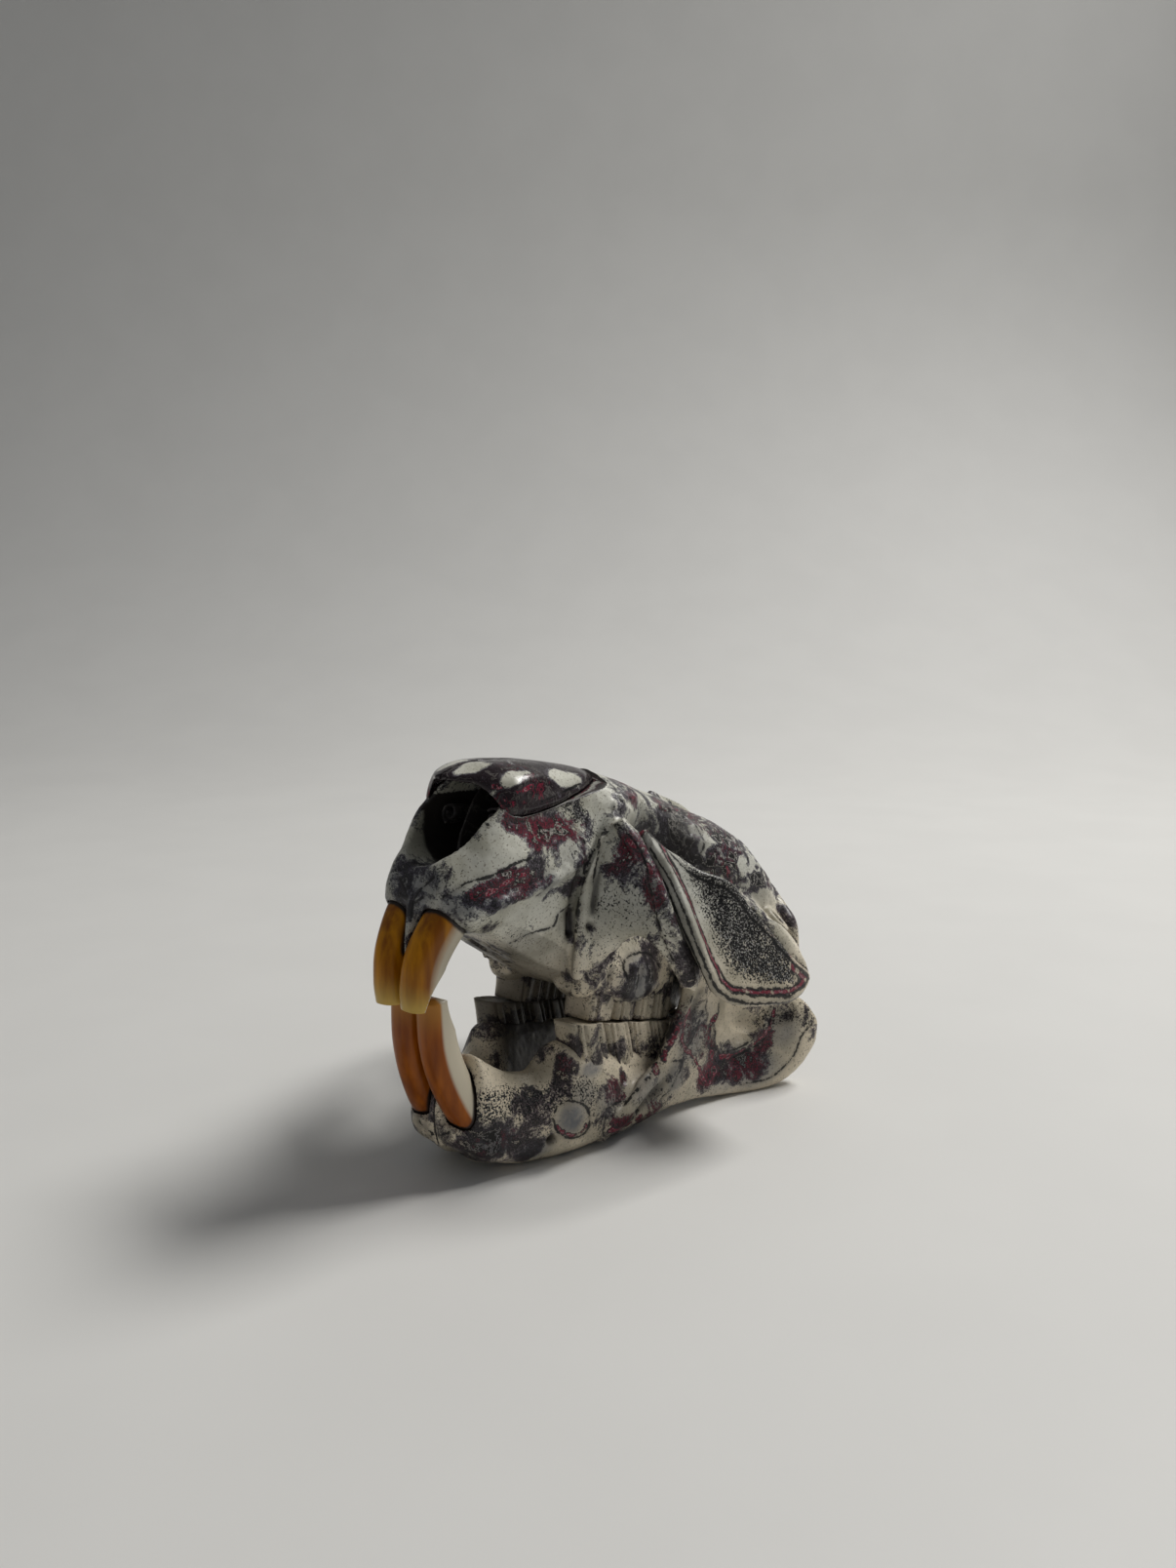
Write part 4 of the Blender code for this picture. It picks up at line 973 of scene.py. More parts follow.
def bone_material(name, gloss=0.36, seed=0.0, lined=True, loose=True, deep=0.0):
    """Mottled bone: cream with charcoal patches ringed by thin lines, crimson veins and black speckle."""
    look = Look(name, (seed, seed * 0.7, seed * 1.3))
    dark, red, speck, shade_level = look.layer("patina")
    dark_gap, red_gap, film, busy = look.layer("lines")
    fine = look.noise(2.3, 6.0, 0.7, 0.6)
    grain = look.noise(0.5, 2.0, 0.65)

    # the field that the patches are contours of, with closer rings where it is busy
    field = look.noise(8.0, 5.0, 0.62, 1.1) * 0.74 + fine * 0.26
    darker = (dark - 0.5) * 0.52
    if lined:
        close = look.noise(3.4, 2.0, 0.45, 0.9) * 0.78 + fine * 0.12 + (0.05 + darker)
        field = field * (1.0 - busy) + close * busy
    spray = (grain - 0.5) * (speck * 0.42)
    field = field + darker + spray

    # clean bone, and the patches on it
    tone = look.noise(12.0, 4.0).step(0.38, 0.66)
    height = Value(look.tree, node(look.tree, "ShaderNodeSeparateXYZ", {0: look.place}).outputs[2])
    upper = height.step(FADE_FROM, FADE_TO)
    clean = look.mix(tone, look.mix(upper, CREAM, PALE), look.mix(upper, OLIVE, ASH))
    clean = look.mix(look.noise(0.55, 3.0, 0.6).step(0.57, 0.66) * 0.75, clean, TAN)
    if lined:
        clean = look.mix(film * (0.45 + fine), clean, FILM)
    colour = look.mix(1.0, clean, look.ramp(field, CONTOURS), "MULTIPLY")
    if deep:
        colour = look.mix(field.step(0.5, 0.56) * deep, colour, DEEP)

    # crimson runs along the contours of the same field and in veins, where the mask lets it
    vein = look.noise(2.8, 4.0, 0.6, 1.2)
    gate = (red * 0.75 + vein * 0.5).step(0.42, 0.56)
    from_vein = abs(vein - 0.5)
    width = (red - 0.45) * 0.036
    brim = (width + 0.012 - from_vein).step(0.0, 0.012) * red.step(0.45, 0.6)
    colour = look.mix(brim * 0.6, colour, BRIM)
    amount = (look.ramp(field, CRIMSON_LINES) * gate).at_least((width - from_vein).step(0.0, 0.008))
    colour = look.mix(amount * 0.95, colour, CRIMSON)

    # black speckle, with white grains where it is dense
    dots = (grain * 0.76 + fine * 0.24) - (0.76 - speck * 0.33)
    salt = look.noise(0.42, 2.0, 0.6).step(0.565, 0.59) * speck.step(0.7, 0.95)
    colour = look.mix(dots.step(0.0, 0.015), colour, look.mix(salt, BLACK, SALT))

    if lined:
        jag = (look.noise(1.0, 2.0, 0.6) - 0.5) * 1.2
        sway = (look.noise(3.0, 3.0, 0.6) - 0.5) * 3.4 if loose else jag
        worn = look.noise(2.0, 3.0, 0.6).step(0.36, 0.46)
        off = abs(red_gap * LINE_REACH + sway - 0.1)
        colour = look.mix(off.step(0.66, 0.5) * worn, colour, RED_EDGE)
        colour = look.mix(off.step(0.30, 0.2) * worn, colour, CRIMSON)
        colour = look.mix(off.step(0.2, 0.08) * grain.step(0.5, 0.56) * worn, colour, RED_SPARK)
        off = dark_gap * LINE_REACH + jag * 0.5
        half = 0.1 + fine.step(0.38, 0.6) * 0.24
        colour = look.mix((off + spray).step(1.1, 0.2) * 0.3, colour, SHADE)
        colour = look.mix((off - half).step(0.1, 0.0) * 0.92, colour, BLACK)

    # painted shade, as much as the patina's last channel holds
    colour = look.mix(shade_level * 0.92, colour, PAINTED_SHADE)
    dull = look.ramp(fine, [(0.3, (gloss - 0.06,) * 3), (0.7, (gloss + 0.14,) * 3)])
    height = look.noise(0.5, 3.0, 0.6) * 0.35 + look.noise(2.2, 3.0) * 0.65
    return look.finish({"Base Color": colour, "Roughness": dull, "Specular IOR Level": 0.32,
                        "Normal": look.relief(height, 0.35, 0.22)})


def enamel_material(name, deep, light, pale, seed):
    """Glossy enamel: deep colour at the root, pale worn tip, white flanks and a painted shadow line at the
    socket.
    """
    look = Look(name, (seed, 0, 0))
    tip, flank, rim, _ = look.layer("patina")
    streak = node(look.tree, "ShaderNodeMapping", {"Vector": look.mm, "Scale": (1.0, 1.0, 0.12)}).outputs[0]
    lines = look.noise(0.9, 3.0, 0.6, at=streak)
    blotch = look.noise(3.0, 2.0, 0.5, at=streak)
    colour = look.mix((blotch + lines * 0.25).step(0.42, 0.9), deep, light)
    colour = look.mix((tip + blotch * 0.25).step(0.35, 1.1), colour, pale)
    colour = look.mix(flank.step(0.35, 0.8), colour, IVORY)
    colour = look.mix((rim + lines * 0.3).step(0.45, 0.95), colour, SOCKET)
    return look.finish({"Base Color": colour, "Roughness": 0.28, "Specular IOR Level": 0.22,
                        "Coat Weight": 0.06, "Coat Roughness": 0.15, "Normal": look.relief(lines, 0.25, 0.1)})


def table_material(name, colour, size, change):
    """One dull colour that hardly varies."""
    look = Look(name)
    tone = look.noise(size, 3.0, 0.5).step(0.3, 0.7)
    darker, lighter = (tuple(c * (1 + way * change) for c in colour) for way in (-1, 1))
    return look.finish({"Base Color": look.mix(tone, darker, lighter), "Roughness": 0.6})


# What the patina shows, marked on the picture. For each bone: the solids that carry it, its
# frame, soft spots (pixel, radii in mm, levels of dark, crimson, speckle and painted shade), thin dark
# lines, thin crimson lines (pixels along each) and grey film (pixel, radii, strength)
MARKS = {
    "cranium": (
        ["cranium"], HEAD, [
            ((545, 852), (6, 8, 4.2), (0.66, 1, 0.25)), ((582, 848), (5, 5, 3.4), (0.66, 1, 0.3)),
            ((520, 842), (4, 4, 3), (0.6, 0.4, 0.4)), ((590, 828), (4, 5, 4), (0.62, 0.15, 0.9)),
            ((488, 880), (7, 7, 5), (0.04, 0, 0.15)), ((520, 872), (5, 5, 4), (0.1, 0, 0.3)),
            ((452, 900), (5, 5, 4), (0.42, 0, 0.55)), ((418, 915), (5, 5, 7), (0.6, 0.05, 0.35)),
            ((432, 905), (4, 5, 5), (0.55, 0, 0.35)), ((470, 925), (5, 5, 3.4), (0.48, 0, 0.45)),
            ((500, 915), (4, 6, 3), (0.7, 0.6, 0.4)), ((530, 900), (4, 6, 2.6), (0.68, 0.75, 0.3)),
            ((560, 905), (4, 5, 3.5), (0.4, 0.2, 0.2)), ((575, 880), (4, 4, 4.5), (0.34, 0.25, 0.2)),
            ((530, 935), (8, 8, 5), (0.06, 0, 0.2)), ((570, 945), (7, 7, 6), (0.05, 0, 0.22)),
            ((520, 962), (7, 7, 4), (0.08, 0, 0.5)), ((560, 985), (7, 8, 6), (0.04, 0, 0.18)),
            ((595, 890), (2, 2, 7), (0.6, 0.35, 0.3)), ((608, 915), (2, 2, 9), (0.03, 0, 0.1)),
            ((632, 885), (4, 4, 5), (0.55, 0.35, 0.4)), ((652, 868), (4, 3, 4), (0.72, 0.8, 0.3)),
            ((630, 930), (6, 5, 7), (0.18, 0, 0.62)), ((655, 925), (4, 4, 6), (0.3, 0.1, 0.6)),
            ((640, 955), (7, 6, 5), (0.15, 0, 0.5)), ((612, 820), (5, 5, 4), (0.03, 0, 0.25)),
            ((648, 842), (4, 4, 3), (0.02, 0, 0.12)), ((650, 822), (4, 5, 3), (0.62, 0.5, 0.3)),
            ((690, 832), (8, 8, 3.4), (0.7, 0.75, 0.3)), ((700, 862), (8, 9, 8), (0.72, 0.05, 0.3, 0.75)),
            ((678, 845), (4, 5, 4), (0.55, 0, 0.1, 0.35)), ((745, 865), (10, 10, 9), (0.66, 0.3, 0.3)),
            ((728, 868), (2.6, 4, 3), (0.34, 0.1, 0.3)), ((765, 888), (3, 3.6, 2.6), (0.36, 0.1, 0.3)),
            ((716, 852), (3, 4, 2.6), (0.46, 0.5, 0.3)), ((778, 905), (4, 5, 4), (0.62, 0.2, 0.4)),
            ((785, 930), (6, 6, 5), (0.02, 0, 0.1)), ((735, 885), (5, 5, 5), (0.6, 0.3, 0.6)),
            ((650, 1003), (5, 9, 6), (0.6, 0, 0.3)), ((640, 985), (4, 4, 3), (0.42, 0.1, 0.5)),
            ((690, 1010), (3, 4, 4), (0.75, 0, 0.3, 0.6)), ((645, 976), (3.2, 3, 2.4), (0.04, 0, 0.1)),
            ((625, 985), (3, 4, 5), (0.6, 0.15, 0.6)), ((672, 985), (4, 4, 5), (0.66, 0.1, 0.5, 0.25)),
            ((652, 1000), (2, 3, 4), (0.3, 0, 0.2)), ((700, 985), (3, 4, 6), (0.62, 0.1, 0.5, 0.2)),
            ((690, 950), (3, 3, 6), (0.56, 0.3, 0.5)), ((528, 917), (3.4, 4, 1.8), (0.6, 0.35, 0.4)),
            ((505, 928), (3.4, 4, 1.8), (0.56, 0.1, 0.4)), ((552, 900), (3, 4, 2), (0.58, 0.3, 0.3)),
            ((640, 1006), (1.4, 1.4, 5), (0.74, 0, 0.2, 0.3)),
            ((661, 1004), (1.6, 1.6, 5), (0.76, 0, 0.2, 0.3)), ((672, 905), (3, 3, 7), (0.62, 0.75, 0.4))
        ], [
            [(500, 846), (525, 836), (560, 825), (590, 811), (611, 800)],
            [(611, 801), (628, 806), (632, 812)], [(631, 808), (629, 828), (632, 845), (620, 851)],
            [(632, 843), (616, 861), (604, 880), (600, 905)],
            [(599, 862), (599, 900), (597, 930), (594, 955)],
            [(634, 846), (650, 862), (661, 882), (668, 915), (676, 948), (690, 985)],
            [(618, 855), (612, 880), (608, 905)],
            [(523, 967), (543, 957), (567, 950), (573, 937), (587, 927)],
            [(410, 915), (424, 925), (432, 912), (445, 900)], [(424, 925), (421, 945)],
            [(455, 920), (480, 905), (505, 898), (530, 885), (545, 880)],
            [(632, 812), (650, 830), (665, 845), (664, 858)], [(672, 822), (700, 835), (712, 845)],
            [(802, 968), (806.75, 957.75)], [(812, 953), (819, 962)], [(704, 870), (722, 888), (735, 890)],
            [(712, 845), (722, 865), (716, 880)],
            [(640, 1018), (636, 990), (648, 978), (664, 978), (676, 992)], [(655, 1005), (658, 985)],
            [(665, 1008), (662, 990)], [(645, 1010), (648, 992)]
        ], [
            [(500, 917), (520, 905), (538, 897)], [(645, 862), (658, 875), (668, 895)],
            [(745, 888), (748, 900), (752, 912)]
        ], [
            ((620, 925), (4, 5, 8), 0.25), ((500, 890), (5, 8, 4), 0.15), ((418, 915), (6, 5, 8), 0.9),
            ((440, 905), (5, 4, 4), 0.8), ((470, 928), (5, 6, 3.6), 0.85), ((505, 925), (4, 6, 2.4), 0.7),
            ((560, 905), (4, 5, 3.5), 0.6), ((650, 1003), (5, 7, 7), 0.9), ((585, 880), (4, 5, 6), 0.35),
            ((650, 925), (6, 5, 8), 0.3), ((690, 870), (8, 9, 9), 0.3), ((775, 905), (9, 9, 8), 0.3)
        ]),
    "nasal": (
        ["nasal_left", "nasal_right"], HEAD, [
            ((540, 800), (9, 16, 9), (0.7, 0.22, 0.05)), ((482, 787), (2.8, 9, 3), (0.12, 0, 0)),
            ((527, 797), (2, 6, 3), (0.14, 0, 0)), ((578, 796), (2.4, 6.4, 3), (0.16, 0, 0)),
            ((550, 806), (3.4, 4.4, 3), (0.74, 0.75, 0)), ((516, 826), (2, 3, 2.6), (0.84, 0.95, 0))
        ], [
            [(525, 831), (560, 820), (590, 806), (606, 798)]
        ], [
            [(516, 815), (519, 824)], [(505, 806), (530, 812), (545, 806)]
        ], [
            ((545, 815), (6, 9, 3), 0.3)
        ]),
    "mandible": (
        ["mandible_left", "mandible_right"], JAW, [
            ((515, 1105), (8, 8, 4), (0.02, 0, 0.18)), ((545, 1110), (7, 6, 5), (0.02, 0, 0.12)),
            ((480, 1095), (4, 4, 6), (0.06, 0, 0.45)), ((505, 1135), (5, 5, 5), (0.22, 0, 0.85)),
            ((506, 1174), (8, 8, 4.2), (0.74, 0.3, 0.35)), ((520, 1128), (6, 6, 4), (0.2, 0, 0.8)),
            ((482, 1128), (5, 5, 4), (0.14, 0, 0.6)), ((540, 1178), (6, 7, 3.4), (0.68, 0.2, 0.4)),
            ((470, 1150), (5, 4, 4), (0.1, 0, 0.4)), ((545, 1130), (5, 6, 4.6), (0.6, 0.2, 0.8)),
            ((568, 1122), (3.4, 4, 4), (0.52, 0.05, 0.8)), ((580, 1095), (3, 3, 4.5), (0.66, 0.3, 0.4)),
            ((607, 1096), (2.6, 4.4, 2), (0.06, 0, 0.25)), ((600, 1120), (5, 5, 3.6), (0.3, 0.1, 0.75)),
            ((635, 1115), (4, 5, 4), (0.62, 0.5, 0.5)), ((630, 1075), (5, 9, 5), (0.03, 0, 0.2)),
            ((600, 1060), (5, 5, 5), (0.05, 0, 0.2)), ((585, 1172), (6, 8, 3.4), (0.03, 0, 0.15)),
            ((586, 1147), (4, 4.2, 4), (0.12, 0, 0.05)), ((640, 1150), (4, 5, 4), (0.3, 0.6, 0.25)),
            ((665, 1140), (4, 5, 4), (0.58, 0.6, 0.35)), ((656, 1113), (2.4, 4, 3), (0.04, 0, 0.1)),
            ((675, 1091), (2.2, 4, 4), (0.05, 0.1, 0.15)), ((690, 1058), (2.2, 4, 4), (0.08, 0.1, 0.15)),
            ((706, 1022), (2.2, 4, 4), (0.08, 0.1, 0.15)), ((668, 1070), (3, 4, 4), (0.5, 0.2, 0.5, 0.2)),
            ((655, 1140), (4, 3, 2.6), (0.1, 0.2, 0.2)), ((640, 1150), (4, 4, 2), (0.55, 0.8, 0.2)),
            ((694, 1105), (4, 4, 5), (0.36, 0.1, 0.2)), ((700, 1050), (3.5, 4, 7), (0.46, 0.6, 0.6)),
            ((720, 1070), (4, 5, 6), (0.52, 0.65, 0.5)), ((722, 1100), (4, 5, 4), (0.55, 0.85, 0.3)),
            ((750, 1050), (6, 7, 5), (0.05, 0.05, 0.15)), ((765, 1071), (3, 5, 2), (0.04, 0, 0.1)),
            ((765, 1095), (6, 9, 5), (0.62, 0.45, 0.45)), ((790, 1065), (4, 6, 4), (0.6, 0.6, 0.4)),
            ((790, 1045), (4, 6, 4), (0.45, 0.2, 0.6)), ((812, 1075), (5, 6, 7), (0.06, 0, 0.3)),
            ((825, 1040), (4, 5, 4), (0.4, 0, 0.7))
        ], [
            [(567, 1147), (572, 1134), (586, 1129), (600, 1134), (605, 1147), (600, 1161), (586, 1167),
             (572, 1161), (567, 1147)],
            [(708, 1020), (694, 1050), (680, 1080), (666, 1105), (650, 1122), (640, 1133)],
            [(722, 1030), (712, 1062), (704, 1075)],
            [(737, 1030), (731, 1055), (731, 1074), (745, 1078), (765, 1070), (783, 1053), (790, 1032)],
            [(620, 1137), (640, 1130), (655, 1140), (622, 1165), (619, 1150), (622, 1137)],
            [(690, 1088), (700, 1090), (690, 1112), (680, 1125)],
            [(731, 1098), (760, 1080), (782, 1068), (790, 1045)],
            [(760, 1112), (790, 1105), (812, 1085), (822, 1062), (832, 1050)],
            [(430, 1150), (450, 1166), (480, 1180), (510, 1192)],
            [(474, 1090), (486, 1105), (488, 1130), (482, 1150)]
        ], [
            [(571, 1156), (578, 1162), (588, 1164), (598, 1159), (601, 1154)],
            [(712, 1025), (703, 1048), (700, 1070), (712, 1085), (720, 1105), (726, 1112), (733, 1098),
             (730, 1080)], [(624, 1160), (640, 1155), (656, 1146)],
            [(733, 1040), (727, 1060), (728, 1078), (745, 1083), (768, 1074), (787, 1056), (794, 1036)],
            [(697, 1050), (686, 1075), (672, 1100)]
        ], [
            ((712, 1060), (5, 8, 9), 0.75), ((745, 1095), (8, 12, 7), 0.7), ((665, 1118), (5, 7, 5), 0.6),
            ((625, 1130), (4, 5, 5), 0.5), ((800, 1055), (5, 7, 6), 0.6), ((505, 1172), (7, 7, 5), 0.9),
            ((545, 1180), (5, 6, 3.4), 0.8), ((586, 1147), (4, 4.4, 4.2), 0.95),
            ((607, 1096), (3, 4.6, 2.2), 0.8), ((694, 1105), (4, 4, 5), 0.7),
            ((770, 1095), (8, 10, 6), 0.85), ((700, 1055), (4, 5, 7), 0.45), ((600, 1120), (5, 5, 4), 0.5)
        ]),
}


# Fine bones. A ridge or groove is a path, its half-width, its height and how far it wavers

RIDGES = [
    # nasal seam lip, ridge along the side of the snout, pillar in front of the cheek plate
    ([(13.3, 15.6, 45.2), (13.3, 19, 45), (13.1, 24, 46.9), (12.4, 32, 49.4), (11.1, 42, 53.8),
      (8.8, 48.6, 57), (3, 49.6, 59.2)], 0.7, 0.75, 0.0),
    ([(11.6, 5.6, 21.6), (13.8, 10.8, 24), (15.3, 17, 27.4), (15.8, 24, 30), (15.9, 33, 34.4),
      (16.2, 40, 38.6)], 1.5, 1.5, 0.6),
    ([(17.5, 46.6, 48), (16.9, 43.2, 41), (16.5, 41.4, 33), (16.3, 41.4, 26), (16, 42.4, 19)], 0.8, 1.9, 0.1),
    ([(16.1, 47.9, 52.4), (17.6, 46.2, 48), (17.2, 44.6, 44), (17, 43.6, 40.6)], 0.6, 0.7, 0.2),
    # inner and front edges of the cheek plate
    ([(19.5, 44.6, 47.2), (24, 47, 41.8), (28, 49.6, 35), (32, 53, 23.6), (35.6, 58.6, 12.6)], 0.7, 1.0, 0.2),
    ([(22, 47.8, 47.8), (26, 50.6, 42.6), (31, 53.4, 34.6), (35.6, 56, 26), (38.6, 59.6, 17.4)],
     0.55, 0.6, 0.3),
    # peg, arched lip and folds of bone over the roots of the cheek teeth
    ([(16.4, 49.6, 7), (16.6, 50, 11), (16.7, 50.4, 14)], 1.1, 1.0, 0.2),
    ([(17.4, 56, 12), (18.4, 54, 17), (21.9, 49.4, 18.2), (25.1, 49.1, 20.6), (28.6, 50.5, 21.4),
      (31, 54, 17.4)], 0.9, 0.9, 0.3),
    ([(18.4, 59.4, 5), (18.6, 60.4, 10), (18.4, 61, 14)], 0.9, 0.9, 0.3),
    ([(18.8, 66, 5), (19, 67, 10), (18.8, 67.6, 14)], 1.0, 1.0, 0.3),
    ([(19, 73.4, 5), (19.2, 74.6, 10)], 0.9, 0.8, 0.3),
    # brow ridge running back into the crest
    ([(19, 47.5, 50), (16.4, 53, 53.4), (13.6, 60, 54.4), (12.6, 68, 53.2), (11, 77, 52.4), (7.4, 87, 52.8),
      (3, 96, 53)], 0.8, 0.55, 0.5),
    ([(20, 47, 49), (18.2, 49.6, 51.6), (15.5, 51, 54)], 0.9, 0.8, 0.6),
    # upper edge of the hind root of the arch, seams on the braincase
    ([(23, 92, 38.5), (30, 93, 32.5), (38, 91, 28.5), (44, 88, 23.5)], 0.9, 0.6, 0.3),
    ([(14, 84, 50), (18, 92, 45.5), (21, 100, 41), (24.5, 108, 35)], 0.7, 0.35, 0.9),
]
GROOVES = [
    # slit in front of the cheek plate, lower edge of the nasal bone, seams of the snout and the roof
    ([(13.4, 41.8, 19.8), (13.7, 41, 22.4), (14.3, 39.4, 25.4)], 0.8, -1.7, 0.1),
    ([(12.6, 14.6, 44.2), (13.9, 19, 44), (13.8, 24, 45.9), (13.2, 32, 48.4), (12, 42, 52.8)],
     0.35, -0.35, 0.2),
    ([(11, 17.6, 19.6), (13.4, 22.6, 22), (15, 27.6, 25.4), (15.7, 33.4, 28.4), (16, 38.6, 31)],
     0.28, -0.5, 0.9),
    ([(0, 50, 60), (8, 50.4, 57.8), (12.5, 50, 55.8), (16, 49, 53.6)], 0.28, -0.5, 0.9),
    ([(0.3, 50, 60), (0.4, 62, 58.6), (0.3, 76, 57.4)], 0.25, -0.35, 0.7),
    ([(0, 84, 57), (7, 84.6, 54.4), (13, 82, 51.5), (18, 80, 46)], 0.28, -0.45, 1.0),
    ([(21, 84, 42), (23.5, 94, 37.5), (24.6, 102, 34)], 0.25, -0.45, 0.9),
    ([(0, 112, 49.6), (10, 112.4, 47), (19, 112, 41), (26, 110, 32)], 0.25, -0.4, 0.9),
    # both sides of the pillar in front of the cheek plate, hollows between the roots
    ([(17.5, 46, 46), (17.4, 44.6, 40), (17.7, 43.4, 33), (17.9, 43.2, 26)], 0.5, -0.9, 0.3),
    ([(15.7, 39, 38), (15.6, 38.6, 32), (15.2, 38.8, 26), (14.8, 39, 21)], 0.7, -1.1, 0.2),
    ([(18.2, 62.6, 5), (18.6, 63.4, 9), (18.4, 64, 13)], 0.8, -1.0, 0.3),
    ([(18.8, 70, 5), (19, 71, 12)], 0.7, -0.9, 0.3),
    ([(17, 53.6, 5), (17.4, 54.4, 12)], 0.6, -0.8, 0.3),
]
# Pits and bosses: centre, width and height. The first ones are deep, with painted shade inside
DEEP_PITS = [((17.9, 43, 22.7), 0.8, -1.8), ((14.4, 39.2, 26.4), 0.5, -0.5), ((16, 38, 28), 0.4, -0.5),
             ((42.2, 82.1, 29.9), 1.5, -1.3)]
PITS = [((16.4, 30, 37.4), 0.35, -0.6), ((15.8, 26, 35.6), 0.3, -0.6), ((14.6, 16, 34.6), 0.3, -0.5),
        ((16.2, 36, 24), 0.3, -0.5), ((15.2, 20, 38.4), 0.3, -0.5)]
# Middle of the folded band along the front of the cheek plate, edge of the bone round the upper front
# tooth, and the swelling over the roots of the cheek teeth (centre, radii)
PLATE_BAND = [(27.5, 48.6, 39.5), (30.4, 49.6, 32.8), (32.5, 51, 28.8), (34.3, 52.8, 25), (36, 55.4, 20.2),
              (37, 58, 16.6)]
SOCKET_RIM = [(6.3, 4.4, 25.2), (9.6, 6.5, 23.4), (10.2, 10, 20.5), (8, 13, 18.8)]
ROOT_DOME = ((17.4, 64, 9.4), (4, 8.6, 7.2))
# Levels of the patina away from every spot
HEAD_BASE, NASAL_BASE, JAW_BASE = (0.46, 0.15, 0.5, 0.0), (0.70, 0.22, 0.05, 0.0), (0.44, 0.16, 0.5, 0.0)
# Spots on the roof, sides, back and underside of the braincase, which the picture hides
HEAD_HIDDEN = [
    # the first spot also carries painted shade in the hollow on the side of the braincase
    ((12, 66, 44), (6, 13, 8), (0.62, 0.05, None, 0.5)), ((6, 60, 57), (8, 8, 3), (0.62, 0.4, 0.3)),
    ((4, 72, 58), (6, 8, 3), (0.05, 0, 0.2)), ((8, 84, 54), (9, 8, 5), (0.62, 0.3, 0.4)),
    ((15, 92, 46), (10, 9, 8), (0.5, 0.3, 0.5)), ((5, 100, 52), (8, 8, 5), (0.3, 0.5, 0.3)),
    ((24, 98, 36), (10, 10, 8), (0.5, 0.2, 0.3)), ((38, 92, 24), (12, 10, 8), (0.1, 0.05, 0.1)),
    ((14, 112, 40), (14, 6, 9), (0.6, 0.4, 0.4)), ((12, 112, 24), (12, 8, 8), (0.1, 0.1, 0.3)),
    ((14, 66, 12), (7, 22, 7), (0.42, 0.05, 0.45)), ((0, 60, 6), (12, 30, 6), (0.2, None, 0.4)),
    ((0, 95, 14), (16, 14, 8), (0.5, 0.2, 0.4))]

JAW_RIDGES = [
    # bar of the masseter crest and its front corner, rim of the angular process, edge of the socket
    ([(20.6, 50, 8), (21.6, 56.2, 8.5), (21.6, 62.1, 12.5), (22, 69.2, 15.8), (22.9, 74.1, 22.9),
      (24.9, 78.8, 31.8), (25, 80, 38)], 1.2, 1.2, 0.3),
    ([(26, 82.6, 33), (25.2, 84.6, 27.6), (24.6, 86, 20), (24.3, 85.3, 13)], 0.8, 0.6, 0.5),
    ([(19.4, 50, 9.6), (19.2, 49, 5), (18.8, 52, 1)], 1.0, 0.7, 0.3),
    ([(25.1, 91.6, 25.8), (24.4, 90, 19.6), (24.4, 89.8, 14.4), (25.3, 95.5, 12.1), (27.8, 101, 13.2),
      (29.9, 106.3, 16.8), (30.1, 109.4, 21.7)], 1.1, 0.9, 0.4),
    ([(33, 106, 25.8), (36.6, 113, 24), (38.4, 119, 19), (38.4, 121, 14)], 0.9, 0.4, 0.4),
    ([(8, 20, 28.6), (8.6, 26, 24.4), (9, 32, 21.4), (10, 38, 20.6)], 0.8, 0.3, 0.3),
    ([(10.2, 19.2, 26), (12, 17.4, 17), (11.6, 15.4, 11)], 0.7, 0.5, 0.3),
]
JAW_GROOVES = [
    ([(21.6, 58, 5.4), (22.4, 66, 8.6), (23, 74, 14.4), (23.6, 79, 22), (25, 82, 31)], 0.8, -0.8, 0.5),
    ([(20, 56, 13), (20.6, 63, 17), (21.6, 69, 22), (22.6, 73, 30)], 0.8, -0.7, 0.5),
    ([(2.4, 15.6, 8), (2.6, 14.6, 13), (3, 15.6, 19)], 0.4, -0.5, 0.3),
    ([(4.6, 15.2, 9), (4.8, 14.6, 14)], 0.35, -0.4, 0.3),
    ([(13.4, 24, 18), (14, 28, 12), (14.6, 34, 6)], 0.3, -0.3, 0.8),
]
MENTAL_HOLE = (16.3, 35.6, 6.3)
JAW_PITS = [(MENTAL_HOLE, 1.0, -2.6), ((18.3, 40.1, 10.6), 3.2, 0.8), ((26.3, 100.5, 19), 5.5, -1.3),
            ((17.6, 43, 17.4), 0.35, -0.5), ((18.6, 46.4, 19.4), 0.35, -0.5), ((16, 36, 16), 0.3, -0.4),
            ((18.8, 52, 17), 0.3, -0.5), ((19, 58, 14.8), 0.3, -0.5)]
JAW_HIDDEN = [
    ((24, 90, 26), (6, 10, 8), (0.25, 0, 0.2)), ((20, 70, 20), (3, 20, 10), (0.3, 0.1, 0.3)),
    ((10, 60, 10), (5, 20, 8), (0.15, 0, 0.3)), ((30, 104, 3), (9, 20, 4.4), (0.1, 0, 0.2))]


def finish_relief(body, lines, pits, seed):
    """Crests, seams, pits and fine unevenness on a fused bone. Gives its folded points before them."""
    q = folded(coords(body))
    moves = np.zeros(len(q))
    raise_lines(q, moves, lines)
    for centre, width, height in pits:
        moves += height * bump(q, centre, width)
    moves += 0.10 * rough(coords(body), 5.0, seed) + 0.035 * rough(coords(body), 1.4, seed + 9, 2)
    push(body, moves)
    return q


